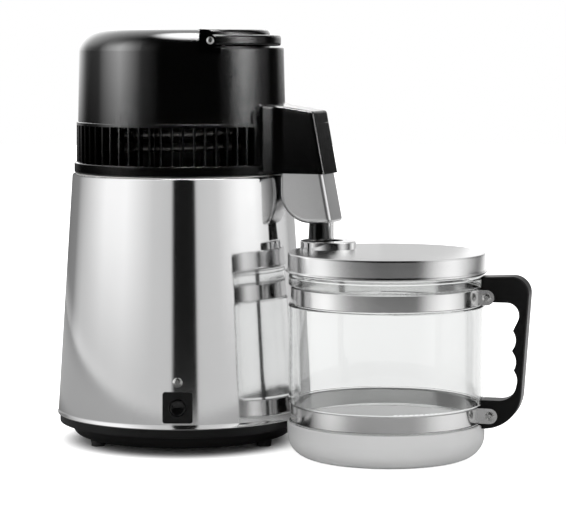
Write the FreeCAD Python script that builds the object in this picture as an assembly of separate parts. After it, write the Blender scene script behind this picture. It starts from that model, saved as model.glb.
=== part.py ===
import FreeCAD, Part
import math
import os

# Countertop water distiller with a glass carafe, in millimetres.
# The boiler stands on its feet with the condenser head on top, and the spout drips into the carafe
# beside it. The origin is where the boiler's axis meets the counter, +Z up, and the front is -Y.

# ---------------------------------------------------------------- driving dimensions
SHEET = 0.8              # stainless sheet
FIT = 0.3                # gap between pieces that are only laid or clipped together
RUNNING = 0.05           # radial clearance of a pivot
SLACK = 0.1              # clearance of a screw in its hole
THROUGH = 1.0            # how far a cutting shape passes what it cuts

# boiler
FOOT_HEIGHT = 6.5
FOOT_RADIUS = 7.0
FOOT_CIRCLE = 88.0
FOOT_ANGLES = (-150.0, -30.0, 90.0)
FOOT_SPIGOT = 4.2        # radius of its spigot
FOOT_SINK = 1.5          # how far the spigot enters the base
FOOT_SEAT = 2.7          # height of the screw's seat in it
FOOT_SCREW_RADIUS = 2.0
FOOT_SCREW_HEAD = 3.2
BASE_HEIGHT = 20.0
BASE_WALL = 2.6
BASE_WAIST = 103.6
BASE_DRAFT = 2.6         # how much narrower it is at its underside
BASE_CORNER = 8.0
BASE_LIP = 7.5           # height of the lip that carries the shell
BASE_STEP = 2.0          # slope under the lip
BASE_LIP_INSET = 1.7     # lip inside the foot of the shell
BASE_SPIGOT = 7.0        # how far the base reaches up inside the shell
BASE_BOSS = 9.0
BASE_BOSS_RADIUS = 4.4
BASE_BOSS_CAP = 2.5      # left over the end of the foot's screw
BASE_SLOT_INNER = 30.0
BASE_SLOT_OUTER = 52.0
BASE_SLOT_WIDE = 4.4
BASE_SLOT_PAIRS = 6
BASE_SLOT_SPREAD = 15.0  # half the angle between the two slots of a pair
SHELL_HEIGHT = 222.2
SHELL_FOOT_RADIUS = 116.4
SHELL_TOP_RADIUS = 101.4
SHELL_FLANGE = 7.0       # turned-in top edge of the shell
SHELL_EDGE = 2.0
SHELL_ROLL = 0.5         # how far its rolled foot stands out
SHELL_ROLL_TALL = 1.4
POT_RIM_INSET = 3.3      # pot's rim inside the shell's top edge
POT_RADIUS = 87.5
POT_DEPTH = 177.0
POT_CORNER = 12.0
HEATER_RADIUS = 66.0
HEATER_PLATE = 5.0
ELEMENT_RING = 48.0
ELEMENT_TUBE = 3.6
ELEMENT_GAP = 18.0       # half the angle between its ends
ELEMENT_DROP = 14.0      # its ends below the ring, and their pins below that
ELEMENT_PIN = 8.0
ELEMENT_PIN_RADIUS = 1.6
THERMOSTAT_RADIUS = 8.0
THERMOSTAT_HEIGHT = 9.0
THERMOSTAT_FLANGE = 1.5  # how far its flange stands out
THERMOSTAT_CIRCLE = 22.0
THERMOSTAT_TABS = 4.0    # middle of each blade terminal from its centre
TAB_LENGTH = 7.0         # flat blade terminals
TAB_WIDE = 3.2
TAB_THICK = 0.8

# start switch, facing the front
SWITCH_ANGLE = -90.0
SWITCH_HEIGHT = 46.6     # centre above the counter
SWITCH_WIDTH = 26.8
SWITCH_TALL = 27.8
SWITCH_PROUD = 1.8
SWITCH_DEPTH = 16.0
SWITCH_LIP = 1.7         # how far its frame overlaps the hole in the shell
SWITCH_CORNER = 2.2
SWITCH_TABS = 5.0
BUTTON_RADIUS = 7.5
BUTTON_LENGTH = 7.0
BUTTON_TRAVEL = 2.5
BUTTON_SUNK = 0.2        # its face behind the frame's
BUTTON_RING = 1.1        # flat ring round the dish
BUTTON_DISH = 0.6
EARTH_SCREW_HEIGHT = 68.8
EARTH_SCREW_HEAD = 4.4
EARTH_SCREW_LENGTH = 8.0
NUT_THICK = 3.0
SMALL_SCREW = 2.0

# appliance inlets
INLET_ANGLE = 90.0
INLET_HEIGHT = 52.0
FAN_INLET_RISE = 29.1    # above the cap's lower edge
INLET_WIDTH = 30.7
INLET_TALL = 23.5
INLET_FLANGE = 2.2
INLET_BODY_WIDTH = 27.0
INLET_BODY_TALL = 19.6
INLET_DEPTH = 19.0
INLET_WALL = 1.4
INLET_CUT = 4.5          # its cut lower corners
INLET_BACK = 2.0
PIN_LENGTH = 15.0
PIN_SPACING = 7.0
PIN_LOW = -1.6           # outer pins below the middle
PIN_HIGH = 2.4
PIN_WIDE = 4.0
PIN_THICK = 2.0

# head
HEAD_GAP = 1.5           # between the shell and the head's lower edge
VENT_HEIGHT = 46.4
VENT_FOOT_RADIUS = 99.6
VENT_RADIUS = 97.5
VENT_TOP_RADIUS = 97.2
VENT_FOOT_BAND = 9.6
VENT_TOP_BAND = 3.0
VENT_DEPTH = 7.5         # radial depth of a slat
VENT_PITCHES = 60
VENT_SLAT = 2.1
SLAT_BEVEL = 0.4         # broken outer corners of a slat
VENT_SPIGOT = 6.0
CAP_HEIGHT = 84.3
CAP_FOOT_RADIUS = 95.8
CAP_SHOULDER_RADIUS = 93.9
CAP_SHOULDER = 20.0
CAP_WALL = 2.5
CROWN_RADIUS = 81.5
CROWN_EDGE = 5.0
INTAKE_INNER = 24.0
INTAKE_OUTER = 56.0
INTAKE_SLOTS = 30
INTAKE_SLOT = 3.0
INTAKE_END = 1.4         # rounding of a slot's ends
GASKET_HEIGHT = 2.4
GASKET_WIDTH = 8.0
DOME_RADIUS = 30.0
DOME_HEIGHT = 8.0
PLATE_SKIRT = 9.0        # how far its skirt reaches into the pot
PLATE_PORT = 5.0         # steam port above the dome
SKIRT_GAP = 1.2          # between its skirt and the pot's wall
RING_SHELF = 6.6         # inward step that carries the vent ring on the plate
COIL_RADIUS = 78.0
COIL_TUBE = 4.5
COIL_PITCH = 12.5
COIL_TURNS = 3.0
COIL_START = 8.0         # bearing from the spout where the turns begin, past the outlet's bend
COIL_BEND = 12.0         # bend from the top down to the steam port
OUTLET_REACH = 9.0       # its end, inside the rear of the cup
MOUTH_DEPTH = 22.0       # how far its end is bored
PORT_ENTRY = 4.0         # how far it reaches into the steam port
GUIDE_RADIUS = 67.0      # drum that keeps the air on the fins
GUIDE_WALL = 2.0
GUIDE_ROUND = 12.0
GUIDE_CLEAR = 1.5        # under the steam pipe
MOTOR_RADIUS = 26.0
MOTOR_HEIGHT = 24.0
MOTOR_SHAFT = 2.5
MOTOR_BEARING = 7.0
MOTOR_STEP = 3.0         # its flange's height, and the step above it
MOTOR_GAP = 7.0          # above the motor
BRACKET_THICK = 1.5
BRACKET_WIDE = 12.0
POST_CIRCLE = 66.0
POST_RADIUS = 4.5
POST_ANGLES = (30.0, 150.0, 270.0)
BRACKET_SCREW = 1.5
BRACKET_SCREW_HEAD = 3.0
BRACKET_SCREW_LENGTH = 9.0
FAN_RADIUS = 72.0
FAN_HUB = 22.0
FAN_HEIGHT = 16.0
FAN_BLADES = 7
FAN_PITCH = 26.0
FAN_BLADE = 1.6
FAN_WALL = 2.0
FAN_BOSS = 6.0
FAN_FLOOR = 3.0
FAN_CHORD = 34.0
FAN_CAMBER = 4.0
FAN_GAP = 2.0            # below the bracket
FIN_COUNT = 23
FIN_SECTOR = 30.0        # without fins, round the coil's leads
FIN_THICK = 0.6
FIN_INNER = 71.0
FIN_OUTER = 87.0
FIN_HEIGHT = 50.0
FIN_HOLE_GAP = 0.15

# carrying bail on the head
BAIL_PIVOT_X = 29.0
BAIL_PIVOT_DROP = 10.5   # below the top of the cap
BAIL_RADIUS = 88.4
BAIL_WIDE = 6.8
BAIL_TALL = 10.4
BAIL_ROUND = 3.0
BAIL_EAR = 5.3
BAIL_SCREW = 2.0
BAIL_SCREW_HEAD = 3.4
BAIL_BOSS = 4.2
RECESS_ANGLE = 76.6      # each side of +X
RECESS_DEPTH = 16.8      # ledge below the top of the cap
POCKET_WIDE = 19.5
POCKET_DEPTH = 22.1      # below the top of the cap
POCKET_REACH = 74.5      # inner wall of the pocket, from the middle plane

# spout
SPOUT_ANGLE = -21.5
SPOUT_WIDE = 39.0
SPOUT_WALL = 2.2
SPOUT_CORNER = 3.5
ROOT_ROUND = 5.0
SPOUT_REACH = 147.2      # front face at the hood's lower edge
SPOUT_LEAN = 10.7        # how far the front face leans back up to the roof
SPOUT_DROP = 6.0         # fall of the roof towards the front
SPOUT_RISE = 16.8        # roof above the top of the vent ring, at its root
SPOUT_FOOT = 1.0         # hood's lower edge above the head's lower edge
COLLAR_ANGLE = 20.5      # half the spread of the spout's root round the head
COLLAR_THICK = 3.2
FLARE_REACH = 102.0      # where the root has narrowed to the spout
FLARE_ROUND = 12.0
LOBE_ANGLE = 25.4
LOBE_THICK = 1.6
LOBE_HEIGHT = 14.5
CUP_DEPTH = 45.7         # below the hood's lower edge
CUP_TUCK = 8.0           # inside the hood
CUP_ROOT = 103.6         # rear of the cup
CUP_HEEL = 28.0
CUP_RISE = 1.5           # of its bottom towards the front
CUP_CORNER = 4.0
SACHET_HEIGHT = 34.0
NOZZLE_INSET = 11.4      # behind the front of the spout
NOZZLE_LENGTH = 14.2
NOZZLE_ROOT = 6.0        # how far it rises beside the cup's bottom
NOZZLE_RADIUS = 9.9
NOZZLE_TAPER = 1.2
NOZZLE_BORE = 2.5
TUBE_RADIUS = 2.0
TUBE_WALL = 0.6
DRIP_GAP = 0.8           # nozzle above the carafe's inlet collar
OUTLET_HEIGHT = 15.5     # condensate outlet above the head's lower edge

# carafe
CARAFE_ANGLE = -26.0
CARAFE_GAP = 2.0
HANDLE_ANGLE = -14.0
JUG_FOOT_RADIUS = 88.4
JUG_BODY_RADIUS = 87.5
JUG_GROOVE_RADIUS = 84.4
JUG_RIM_RADIUS = 86.2
JUG_WALL = 3.0
JUG_FLOOR = 6.0
JUG_CORNER = 20.0
JUG_KICK = 1.2           # hollow under its foot
JUG_NECK_DROP = 20.2     # below the rim, where the wall draws in under the lid
GROOVE_WIDE = 14.4
GROOVE_SLOPE = 1.8
BAND_WIDE = 13.6
BAND_THICK = 0.9
LOWER_BAND = 40.5        # middle of the band above the counter
UPPER_BAND_DROP = 36.5   # below the rim
LOWER_SCREW_REACH = 95.5 # clamp screws, from the jug's axis
UPPER_SCREW_REACH = 92.0
CLAMP_SCREW = 2.0
CLAMP_SCREW_HEAD = 3.9
CLAMP_NUT = 7.0
CLAMP_END = 4.0          # of the screw beyond the ears
HANDLE_THICK = 21.0
HANDLE_ABOVE = 17.3      # over the middle of the upper band
HANDLE_BELOW = 11.6      # under the middle of the lower band
HANDLE_OUT = 130.4
HANDLE_RISE = 2.4        # of its top towards the back
HANDLE_LEAN = 9.2        # how far its back comes in towards the foot
HANDLE_ARM = 21.5
HANDLE_LOWER_ARM = 25.6
HANDLE_GRIP = 10.0
HANDLE_SHOULDER = 15.5   # outer corner radii
HANDLE_HEEL = 34.0
HANDLE_EDGE = 1.5
HANDLE_ROOT = 70.0       # inside the jug's wall, before it is cut to it
GRIP_RIM = 0.842         # heights between the arms, as shares of the gap
GRIP_PEAKS = ((0.7175, 5.2), (0.512, 6.0), (0.314, 4.2))
GRIP_END = 0.156
GRIP_POINT = 0.014       # rounding of a peak, of the hollows between, and of the gap's corners
GRIP_HOLLOW = 0.158
GRIP_TOP_CORNER = 0.124
GRIP_RIM_CORNER = 0.113
GRIP_LOW_CORNER = 0.18
LID_HEIGHT = 17.2
LID_RADIUS = 88.2
LID_BEAD = 2.0
LID_BEAD_TALL = 1.8
COLLAR_RADIUS = 25.4
COLLAR_HEIGHT = 7.2
COLLAR_HOLE = 13.0
COLLAR_LIP = 5.0         # how far its hole is turned down below the lid's top
COLLAR_INSET = 0.4       # collar's edge inside the lid's edge

# ---------------------------------------------------------------- levels worked out from them
SHELL_BOTTOM = FOOT_HEIGHT + BASE_HEIGHT
SHELL_TOP = SHELL_BOTTOM + SHELL_HEIGHT
POT_RIM = SHELL_TOP + SHEET
POT_BOTTOM = POT_RIM - POT_DEPTH
HEAD_BOTTOM = SHELL_TOP + HEAD_GAP
VENT_TOP = HEAD_BOTTOM + VENT_HEIGHT
CAP_BOTTOM = VENT_TOP + FIT
FAN_INLET_HEIGHT = CAP_BOTTOM + FAN_INLET_RISE
CAP_TOP = CAP_BOTTOM + CAP_HEIGHT
BRACKET_TOP = CAP_TOP - CAP_WALL - MOTOR_GAP - MOTOR_HEIGHT
BRACKET_BOTTOM = BRACKET_TOP - BRACKET_THICK
FAN_TOP = BRACKET_BOTTOM - FAN_GAP
FAN_BOTTOM = FAN_TOP - FAN_HEIGHT
LEDGE = CAP_TOP - RECESS_DEPTH
PIVOT = CAP_TOP - BAIL_PIVOT_DROP
GASKET_BOTTOM = POT_RIM + FIT
PLATE_BOTTOM = GASKET_BOTTOM + GASKET_HEIGHT
PLATE_TOP = PLATE_BOTTOM + SHEET
SPOUT_BOTTOM = HEAD_BOTTOM + SPOUT_FOOT
SEAM = VENT_TOP
ROOF = VENT_TOP + SPOUT_RISE
CUP_BOTTOM = SPOUT_BOTTOM - CUP_DEPTH
NOZZLE_REACH = SPOUT_REACH - NOZZLE_INSET
NOZZLE_BOTTOM = CUP_BOTTOM - NOZZLE_LENGTH
COLLAR_TOP = NOZZLE_BOTTOM - DRIP_GAP
LID_TOP = COLLAR_TOP - COLLAR_HEIGHT
JUG_HEIGHT = LID_TOP - SHEET - FIT
JUG_NECK = JUG_HEIGHT - JUG_NECK_DROP
UPPER_BAND = JUG_HEIGHT - UPPER_BAND_DROP
HANDLE_TOP = UPPER_BAND + HANDLE_ABOVE
HANDLE_BOTTOM = LOWER_BAND - HANDLE_BELOW
CARAFE_REACH = SHELL_FOOT_RADIUS + JUG_FOOT_RADIUS + CARAFE_GAP
CARAFE_X = CARAFE_REACH * math.cos(math.radians(CARAFE_ANGLE))
CARAFE_Y = CARAFE_REACH * math.sin(math.radians(CARAFE_ANGLE))
TAPER = math.degrees(math.atan((SHELL_FOOT_RADIUS - SHELL_TOP_RADIUS) / SHELL_HEIGHT))
CAP_TAPER = math.degrees(math.atan((CAP_FOOT_RADIUS - CAP_SHOULDER_RADIUS) / CAP_HEIGHT))


def shell_radius(height):
    """Outer radius of the tapered shell at a height above the counter."""
    share = (height - SHELL_BOTTOM) / SHELL_HEIGHT
    return SHELL_FOOT_RADIUS + share * (SHELL_TOP_RADIUS - SHELL_FOOT_RADIUS)


def cap_radius(height):
    """Outer radius of the cap's wall, below its shoulder."""
    share = (height - CAP_BOTTOM) / CAP_HEIGHT
    return CAP_FOOT_RADIUS + share * (CAP_SHOULDER_RADIUS - CAP_FOOT_RADIUS)


# ---------------------------------------------------------------- drawing helpers
Z_AXIS = FreeCAD.Vector(0, 0, 1)
Y_AXIS = FreeCAD.Vector(0, 1, 0)
X_AXIS = FreeCAD.Vector(1, 0, 0)
ORIGIN = FreeCAD.Vector(0, 0, 0)


def upright(u, v):
    return FreeCAD.Vector(u, 0, v)


def level(u, v):
    return FreeCAD.Vector(u, v, 0)


def facing(u, v):
    return FreeCAD.Vector(0, u, v)


def rounded_face(points, plane=upright):
    """A closed outline through (u, v) points. A third value rounds that corner to its radius."""
    corners = []
    for i, point in enumerate(points):
        here = plane(point[0], point[1])
        radius = point[2] if len(point) > 2 else 0.0
        if not radius:
            corners.append((here, None, here))
            continue
        before = plane(*points[i - 1][:2]) - here
        after = plane(*points[(i + 1) % len(points)][:2]) - here
        half = before.getAngle(after) / 2
        reach = radius / math.tan(half)
        before.normalize()
        after.normalize()
        middle = before + after
        middle.normalize()
        start = here + before * reach
        end = here + after * reach
        top = here + middle * (radius / math.sin(half) - radius)
        corners.append((start, top, end))
    edges = []
    for i, (start, top, end) in enumerate(corners):
        if top is not None:
            edges.append(Part.Arc(start, top, end).toShape())
        following = corners[(i + 1) % len(corners)][0]
        if end.distanceToPoint(following) > 1e-6:
            edges.append(Part.LineSegment(end, following).toShape())
    return Part.Face(Part.Wire(edges))


def turned(points, sweep=360.0, first=0.0):
    """An upright outline turned about the Z axis, from the angle first."""
    solid = rounded_face(points).revolve(ORIGIN, Z_AXIS, sweep)
    solid.rotate(ORIGIN, Z_AXIS, first)
    return solid


def tube(outer, inner, bottom, top):
    return turned([(inner, bottom), (outer, bottom), (outer, top), (inner, top)])


def rod(radius, start, end):
    """A round bar between two points."""
    along = end - start
    return Part.makeCylinder(radius, along.Length, start, along)


def block(x0, x1, y0, y1, z0, z1):
    return Part.makeBox(x1 - x0, y1 - y0, z1 - z0, FreeCAD.Vector(x0, y0, z0))


def extruded(points, low, high, plane=upright):
    """An outline pulled across its plane, from low to high."""
    normal = {upright: Y_AXIS, level: Z_AXIS, facing: X_AXIS}[plane]
    face = rounded_face(points, plane)
    face.translate(normal * low)
    return face.extrude(normal * (high - low))


def moved(shape, angle=0.0, x=0.0, y=0.0, z=0.0):
    """A copy turned about Z and then shifted."""
    copy = shape.copy()
    copy.rotate(ORIGIN, Z_AXIS, angle)
    copy.translate(FreeCAD.Vector(x, y, z))
    return copy


def fused(*shapes):
    solid = shapes[0]
    for other in shapes[1:]:
        solid = solid.fuse(other)
    return solid.removeSplitter()


def cut(solid, *tools):
    return solid.cut(Part.makeCompound(tools)) if len(tools) > 1 else solid.cut(tools[0])


def set_in_wall(shape, angle, height, radius, lean):
    """Places a piece drawn with its outer face at X = 0 and +X pointing out of the housing."""
    copy = shape.copy()
    copy.rotate(ORIGIN, Y_AXIS, -lean)
    copy.translate(FreeCAD.Vector(radius, 0, height))
    copy.rotate(ORIGIN, Z_AXIS, angle)
    return copy


def plate(width, tall, near, far, corner):
    """A rectangular plate across X, from near to far, with rounded corners."""
    w, t = width / 2, tall / 2
    return extruded([(-w, -t, corner), (w, -t, corner), (w, t, corner), (-w, t, corner)], near, far, facing)


def cross_screw(head, shank, length, dome=1.0):
    """A pan-head screw with a cross recess: its head's underside is at X = 0, and it points to -X."""
    thick = head * 0.5
    face = rounded_face([(0, 0), (0, head), (thick * 0.5, head, dome), (thick, head * 0.5, dome),
                         (thick, 0)], level)
    body = face.revolve(ORIGIN, X_AXIS, 360)
    arm, slot = head * 0.5, head * 0.11
    recess = fused(block(thick * 0.35, thick + 1, -arm, arm, -slot, slot),
                   block(thick * 0.35, thick + 1, -slot, slot, -arm, arm))
    return fused(body.cut(recess), rod(shank, FreeCAD.Vector(0.5, 0, 0), FreeCAD.Vector(-length, 0, 0)))


# ---------------------------------------------------------------- boiler
def make_base_pan():
    """Moulded base: a waisted tray whose lip carries the steel shell."""
    lip = SHELL_FOOT_RADIUS - BASE_LIP_INSET
    spigot = shell_radius(SHELL_BOTTOM + BASE_SPIGOT) - SHEET - FIT
    floor, t = FOOT_HEIGHT, BASE_WALL
    tray = turned([
        (0, floor), (BASE_WAIST - BASE_DRAFT, floor, BASE_CORNER),
        (BASE_WAIST, SHELL_BOTTOM - BASE_LIP - BASE_STEP),
        (lip, SHELL_BOTTOM - BASE_LIP), (lip, SHELL_BOTTOM - FIT, 0.6), (spigot, SHELL_BOTTOM - FIT),
        (spigot, SHELL_BOTTOM + BASE_SPIGOT, 0.8), (spigot - t, SHELL_BOTTOM + BASE_SPIGOT),
        (spigot - t, SHELL_BOTTOM - BASE_LIP + t), (BASE_WAIST - t, SHELL_BOTTOM - BASE_LIP),
        (BASE_WAIST - BASE_DRAFT - t, floor + t, BASE_CORNER - t), (0, floor + t)])
    seat = tube(FOOT_SPIGOT + FIT / 2, 0, floor - THROUGH, floor + FOOT_SINK + FIT / 2)
    hole = tube(FOOT_SCREW_RADIUS + RUNNING, 0, floor - THROUGH, floor + BASE_BOSS - BASE_BOSS_CAP / 2)
    boss = tube(BASE_BOSS_RADIUS, 0, floor + t / 2, floor + BASE_BOSS)
    half = BASE_SLOT_WIDE / 2
    end = half * 0.95
    slot = extruded([(BASE_SLOT_INNER, -half, end), (BASE_SLOT_OUTER, -half, end),
                     (BASE_SLOT_OUTER, half, end), (BASE_SLOT_INNER, half, end)],
                    floor - THROUGH, floor + t + THROUGH, level)
    tools = at_feet(fused(seat, hole))
    for i in range(BASE_SLOT_PAIRS):
        for side in (-1, 1):
            tools.append(moved(slot, i * 360.0 / BASE_SLOT_PAIRS + BASE_SLOT_SPREAD * side))
    return cut(fused(tray, *at_feet(boss)), *tools)


def at_feet(piece):
    """A copy of a piece at each foot."""
    return [moved(moved(piece, x=FOOT_CIRCLE), angle) for angle in FOOT_ANGLES]


def make_rubber_feet():
    """Soft feet with a spigot in the base and a sunk screw."""
    well, hole = FOOT_SCREW_HEAD + FIT, FOOT_SCREW_RADIUS + FIT / 3
    foot = turned([
        (well, 0.0), (FOOT_RADIUS - 0.8, 0, 0.6), (FOOT_RADIUS, FOOT_HEIGHT), (FOOT_SPIGOT, FOOT_HEIGHT),
        (FOOT_SPIGOT, FOOT_HEIGHT + FOOT_SINK), (hole, FOOT_HEIGHT + FOOT_SINK),
        (hole, FOOT_SEAT), (well, FOOT_SEAT)])
    return Part.makeCompound(at_feet(foot))


def make_foot_screws():
    """Pan-head screws up through the feet."""
    length = FOOT_HEIGHT - FOOT_SEAT + BASE_BOSS - BASE_BOSS_CAP
    screw = cross_screw(FOOT_SCREW_HEAD, FOOT_SCREW_RADIUS, length, 0.4)
    screw.rotate(ORIGIN, Y_AXIS, 90)
    return Part.makeCompound(at_feet(moved(screw, z=FOOT_SEAT - RUNNING)))


def make_outer_shell():
    """Polished tapered shell, rolled at the foot and turned in at the top."""
    foot, top = SHELL_FOOT_RADIUS, SHELL_TOP_RADIUS
    roll = SHELL_BOTTOM + SHELL_ROLL_TALL
    shell = turned([
        (foot - SHEET, SHELL_BOTTOM), (foot + SHELL_ROLL, SHELL_BOTTOM, 0.4), (foot + SHELL_ROLL, roll, 0.5),
        (foot - 0.1, roll + SHEET), (top, SHELL_TOP, SHELL_EDGE), (top - SHELL_FLANGE, SHELL_TOP),
        (top - SHELL_FLANGE, SHELL_TOP - SHEET), (top - SHEET, SHELL_TOP - SHEET, SHELL_EDGE - SHEET)])
    switch = set_in_wall(plate(SWITCH_WIDTH - 2 * SWITCH_LIP, SWITCH_TALL - 2 * SWITCH_LIP, -6, 6, 1.5),
                         SWITCH_ANGLE, SWITCH_HEIGHT, shell_radius(SWITCH_HEIGHT), TAPER)
    screw = set_in_wall(rod(SMALL_SCREW + SLACK, FreeCAD.Vector(-6, 0, 0), FreeCAD.Vector(6, 0, 0)),
                        SWITCH_ANGLE, EARTH_SCREW_HEIGHT, shell_radius(EARTH_SCREW_HEIGHT), TAPER)
    inlet = set_in_wall(plate(INLET_BODY_WIDTH + FIT, INLET_BODY_TALL + FIT, -6, 6, 1.5),
                        INLET_ANGLE, INLET_HEIGHT, shell_radius(INLET_HEIGHT), TAPER)
    return cut(shell, switch, screw, inlet)


def make_boiling_pot():
    """Deep-drawn boiling pot, hung by its rim on the shell."""
    rim = SHELL_TOP_RADIUS - POT_RIM_INSET
    r, t = POT_RADIUS, SHEET
    return turned([
        (0, POT_BOTTOM), (r, POT_BOTTOM, POT_CORNER), (r, SHELL_TOP, 1.5), (rim, SHELL_TOP),
        (rim, POT_RIM), (r - t, POT_RIM, 1.5), (r - t, POT_BOTTOM + t, POT_CORNER - t), (0, POT_BOTTOM + t)])


def make_heater_plate():
    """Aluminium spreader brazed under the pot."""
    top = POT_BOTTOM
    low = top - HEATER_PLATE
    return turned([(0, low), (HEATER_RADIUS, low, 1.0), (HEATER_RADIUS, top), (0, top)])


def element_level():
    return POT_BOTTOM - HEATER_PLATE - ELEMENT_TUBE


def make_heating_element():
    """Sheathed ring heater under the spreader, with its two cold ends turned down."""
    height = element_level()
    section = Part.Circle(FreeCAD.Vector(ELEMENT_RING, 0, height), Y_AXIS, ELEMENT_TUBE).toShape()
    ring = Part.Face(Part.Wire([section])).revolve(ORIGIN, Z_AXIS, 360 - 2 * ELEMENT_GAP)
    ring.rotate(ORIGIN, Z_AXIS, ELEMENT_GAP)
    ends = []
    for side in (-1, 1):
        angle = math.radians(ELEMENT_GAP * side)
        point = FreeCAD.Vector(ELEMENT_RING * math.cos(angle), ELEMENT_RING * math.sin(angle), height)
        ends.append(Part.makeSphere(ELEMENT_TUBE, point))
        end = point - Z_AXIS * ELEMENT_DROP
        ends.append(rod(ELEMENT_TUBE, point, end))
        ends.append(rod(ELEMENT_PIN_RADIUS, end + Z_AXIS, end - Z_AXIS * ELEMENT_PIN))
    return fused(ring, *ends)


def make_thermostats():
    """Boil-dry cut-outs under the spreader, each a disc with two blade terminals."""
    top = POT_BOTTOM - HEATER_PLATE
    r, low = THERMOSTAT_RADIUS, top - THERMOSTAT_HEIGHT
    neck, step = r - THERMOSTAT_FLANGE, top - THERMOSTAT_HEIGHT * 0.4
    body = turned([(0, low), (neck, low, 0.5), (neck, step), (r, step), (r, top, 0.4), (0, top)])
    blade = block(-TAB_THICK / 2, TAB_THICK / 2, -TAB_WIDE / 2, TAB_WIDE / 2, low - TAB_LENGTH, low + 0.5)
    one = fused(body, moved(blade, y=-THERMOSTAT_TABS), moved(blade, y=THERMOSTAT_TABS))
    return Part.makeCompound([moved(moved(one, x=THERMOSTAT_CIRCLE), angle) for angle in (90.0, 270.0)])


def make_switch_bezel():
    """Square switch body: a proud frame, a round well for the button and a box behind the shell."""
    frame = plate(SWITCH_WIDTH, SWITCH_TALL, FIT / 2, SWITCH_PROUD, SWITCH_CORNER)
    frame = frame.makeChamfer(0.5, [e for e in frame.Edges if e.BoundBox.XMin > SWITCH_PROUD - 0.01])
    lip = 2 * (SWITCH_LIP + FIT)
    box = plate(SWITCH_WIDTH - lip, SWITCH_TALL - lip, -SWITCH_DEPTH, FIT, 1.2)
    well = rod(BUTTON_RADIUS + FIT, FreeCAD.Vector(-BUTTON_LENGTH - BUTTON_TRAVEL, 0, 0),
               FreeCAD.Vector(SWITCH_PROUD + 1, 0, 0))
    blade = block(-SWITCH_DEPTH - TAB_LENGTH, THROUGH - SWITCH_DEPTH, -TAB_THICK / 2, TAB_THICK / 2,
                  -TAB_WIDE, TAB_WIDE)
    body = fused(fused(frame, box).cut(well), moved(blade, y=-SWITCH_TABS), moved(blade, y=SWITCH_TABS))
    return set_in_wall(body, SWITCH_ANGLE, SWITCH_HEIGHT, shell_radius(SWITCH_HEIGHT), TAPER)


def make_start_button():
    """Round push button, faintly dished, with a ring round its edge."""
    r, top = BUTTON_RADIUS, SWITCH_PROUD - BUTTON_SUNK
    face = rounded_face([(top - BUTTON_LENGTH, 0), (top - BUTTON_LENGTH, r), (top, r, 0.4),
                         (top, r - BUTTON_RING), (top - BUTTON_DISH / 2, r - BUTTON_RING - 0.4),
                         (top - BUTTON_DISH, 0)], level)
    return set_in_wall(face.revolve(ORIGIN, X_AXIS, 360), SWITCH_ANGLE, SWITCH_HEIGHT,
                       shell_radius(SWITCH_HEIGHT), TAPER)


def make_earth_screw():
    screw = cross_screw(EARTH_SCREW_HEAD, SMALL_SCREW, EARTH_SCREW_LENGTH)
    screw.translate(X_AXIS * FIT / 2)
    return set_in_wall(screw, SWITCH_ANGLE, EARTH_SCREW_HEIGHT, shell_radius(EARTH_SCREW_HEIGHT), TAPER)


def hexagon(across, inner, near, far):
    """A nut across X."""
    corner = across / 2 / math.cos(math.pi / 6)
    turns = [math.pi / 3 * i for i in range(6)]
    points = [(corner * math.cos(turn), corner * math.sin(turn)) for turn in turns]
    hole = rod(inner, X_AXIS * (near - THROUGH), X_AXIS * (far + THROUGH))
    return extruded(points, near, far, facing).cut(hole)


def make_earth_nut():
    nut = hexagon(CLAMP_NUT, SMALL_SCREW + RUNNING, -SHEET - FIT - NUT_THICK, -SHEET - FIT)
    return set_in_wall(nut, SWITCH_ANGLE, EARTH_SCREW_HEIGHT, shell_radius(EARTH_SCREW_HEIGHT), TAPER)


def inlet_body():
    """Three-pin appliance inlet: a screw flange round a socket with its two lower corners cut off."""
    w, t, c = INLET_BODY_WIDTH / 2 - INLET_WALL, INLET_BODY_TALL / 2 - INLET_WALL, INLET_CUT
    flange = plate(INLET_WIDTH, INLET_TALL, FIT / 2, INLET_FLANGE, 2.5)
    body = plate(INLET_BODY_WIDTH, INLET_BODY_TALL, -INLET_DEPTH, INLET_FLANGE / 2, 1.2)
    socket = extruded([(-w, c - t), (c - w, -t), (w - c, -t), (w, c - t), (w, t, 1), (-w, t, 1)],
                      INLET_BACK - INLET_DEPTH, INLET_FLANGE + THROUGH, facing)
    return fused(flange, body).cut(socket)


def inlet_pins():
    back = INLET_BACK - INLET_DEPTH
    pin = block(back, back + PIN_LENGTH, -PIN_THICK / 2, PIN_THICK / 2, -PIN_WIDE / 2, PIN_WIDE / 2)
    return Part.makeCompound([moved(pin, y=-PIN_SPACING, z=PIN_LOW), moved(pin, y=PIN_SPACING, z=PIN_LOW),
                              moved(pin, z=PIN_HIGH)])


def make_mains_inlet():
    return set_in_wall(inlet_body(), INLET_ANGLE, INLET_HEIGHT, shell_radius(INLET_HEIGHT), TAPER)


def make_mains_pins():
    return set_in_wall(inlet_pins(), INLET_ANGLE, INLET_HEIGHT, shell_radius(INLET_HEIGHT), TAPER)


# ---------------------------------------------------------------- head
def make_gasket():
    """Silicone ring between the pot's rim and the head."""
    inner = POT_RADIUS
    return turned([(inner, GASKET_BOTTOM), (inner + GASKET_WIDTH, GASKET_BOTTOM, 0.6),
                   (inner + GASKET_WIDTH, PLATE_BOTTOM), (inner, PLATE_BOTTOM)])


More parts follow.
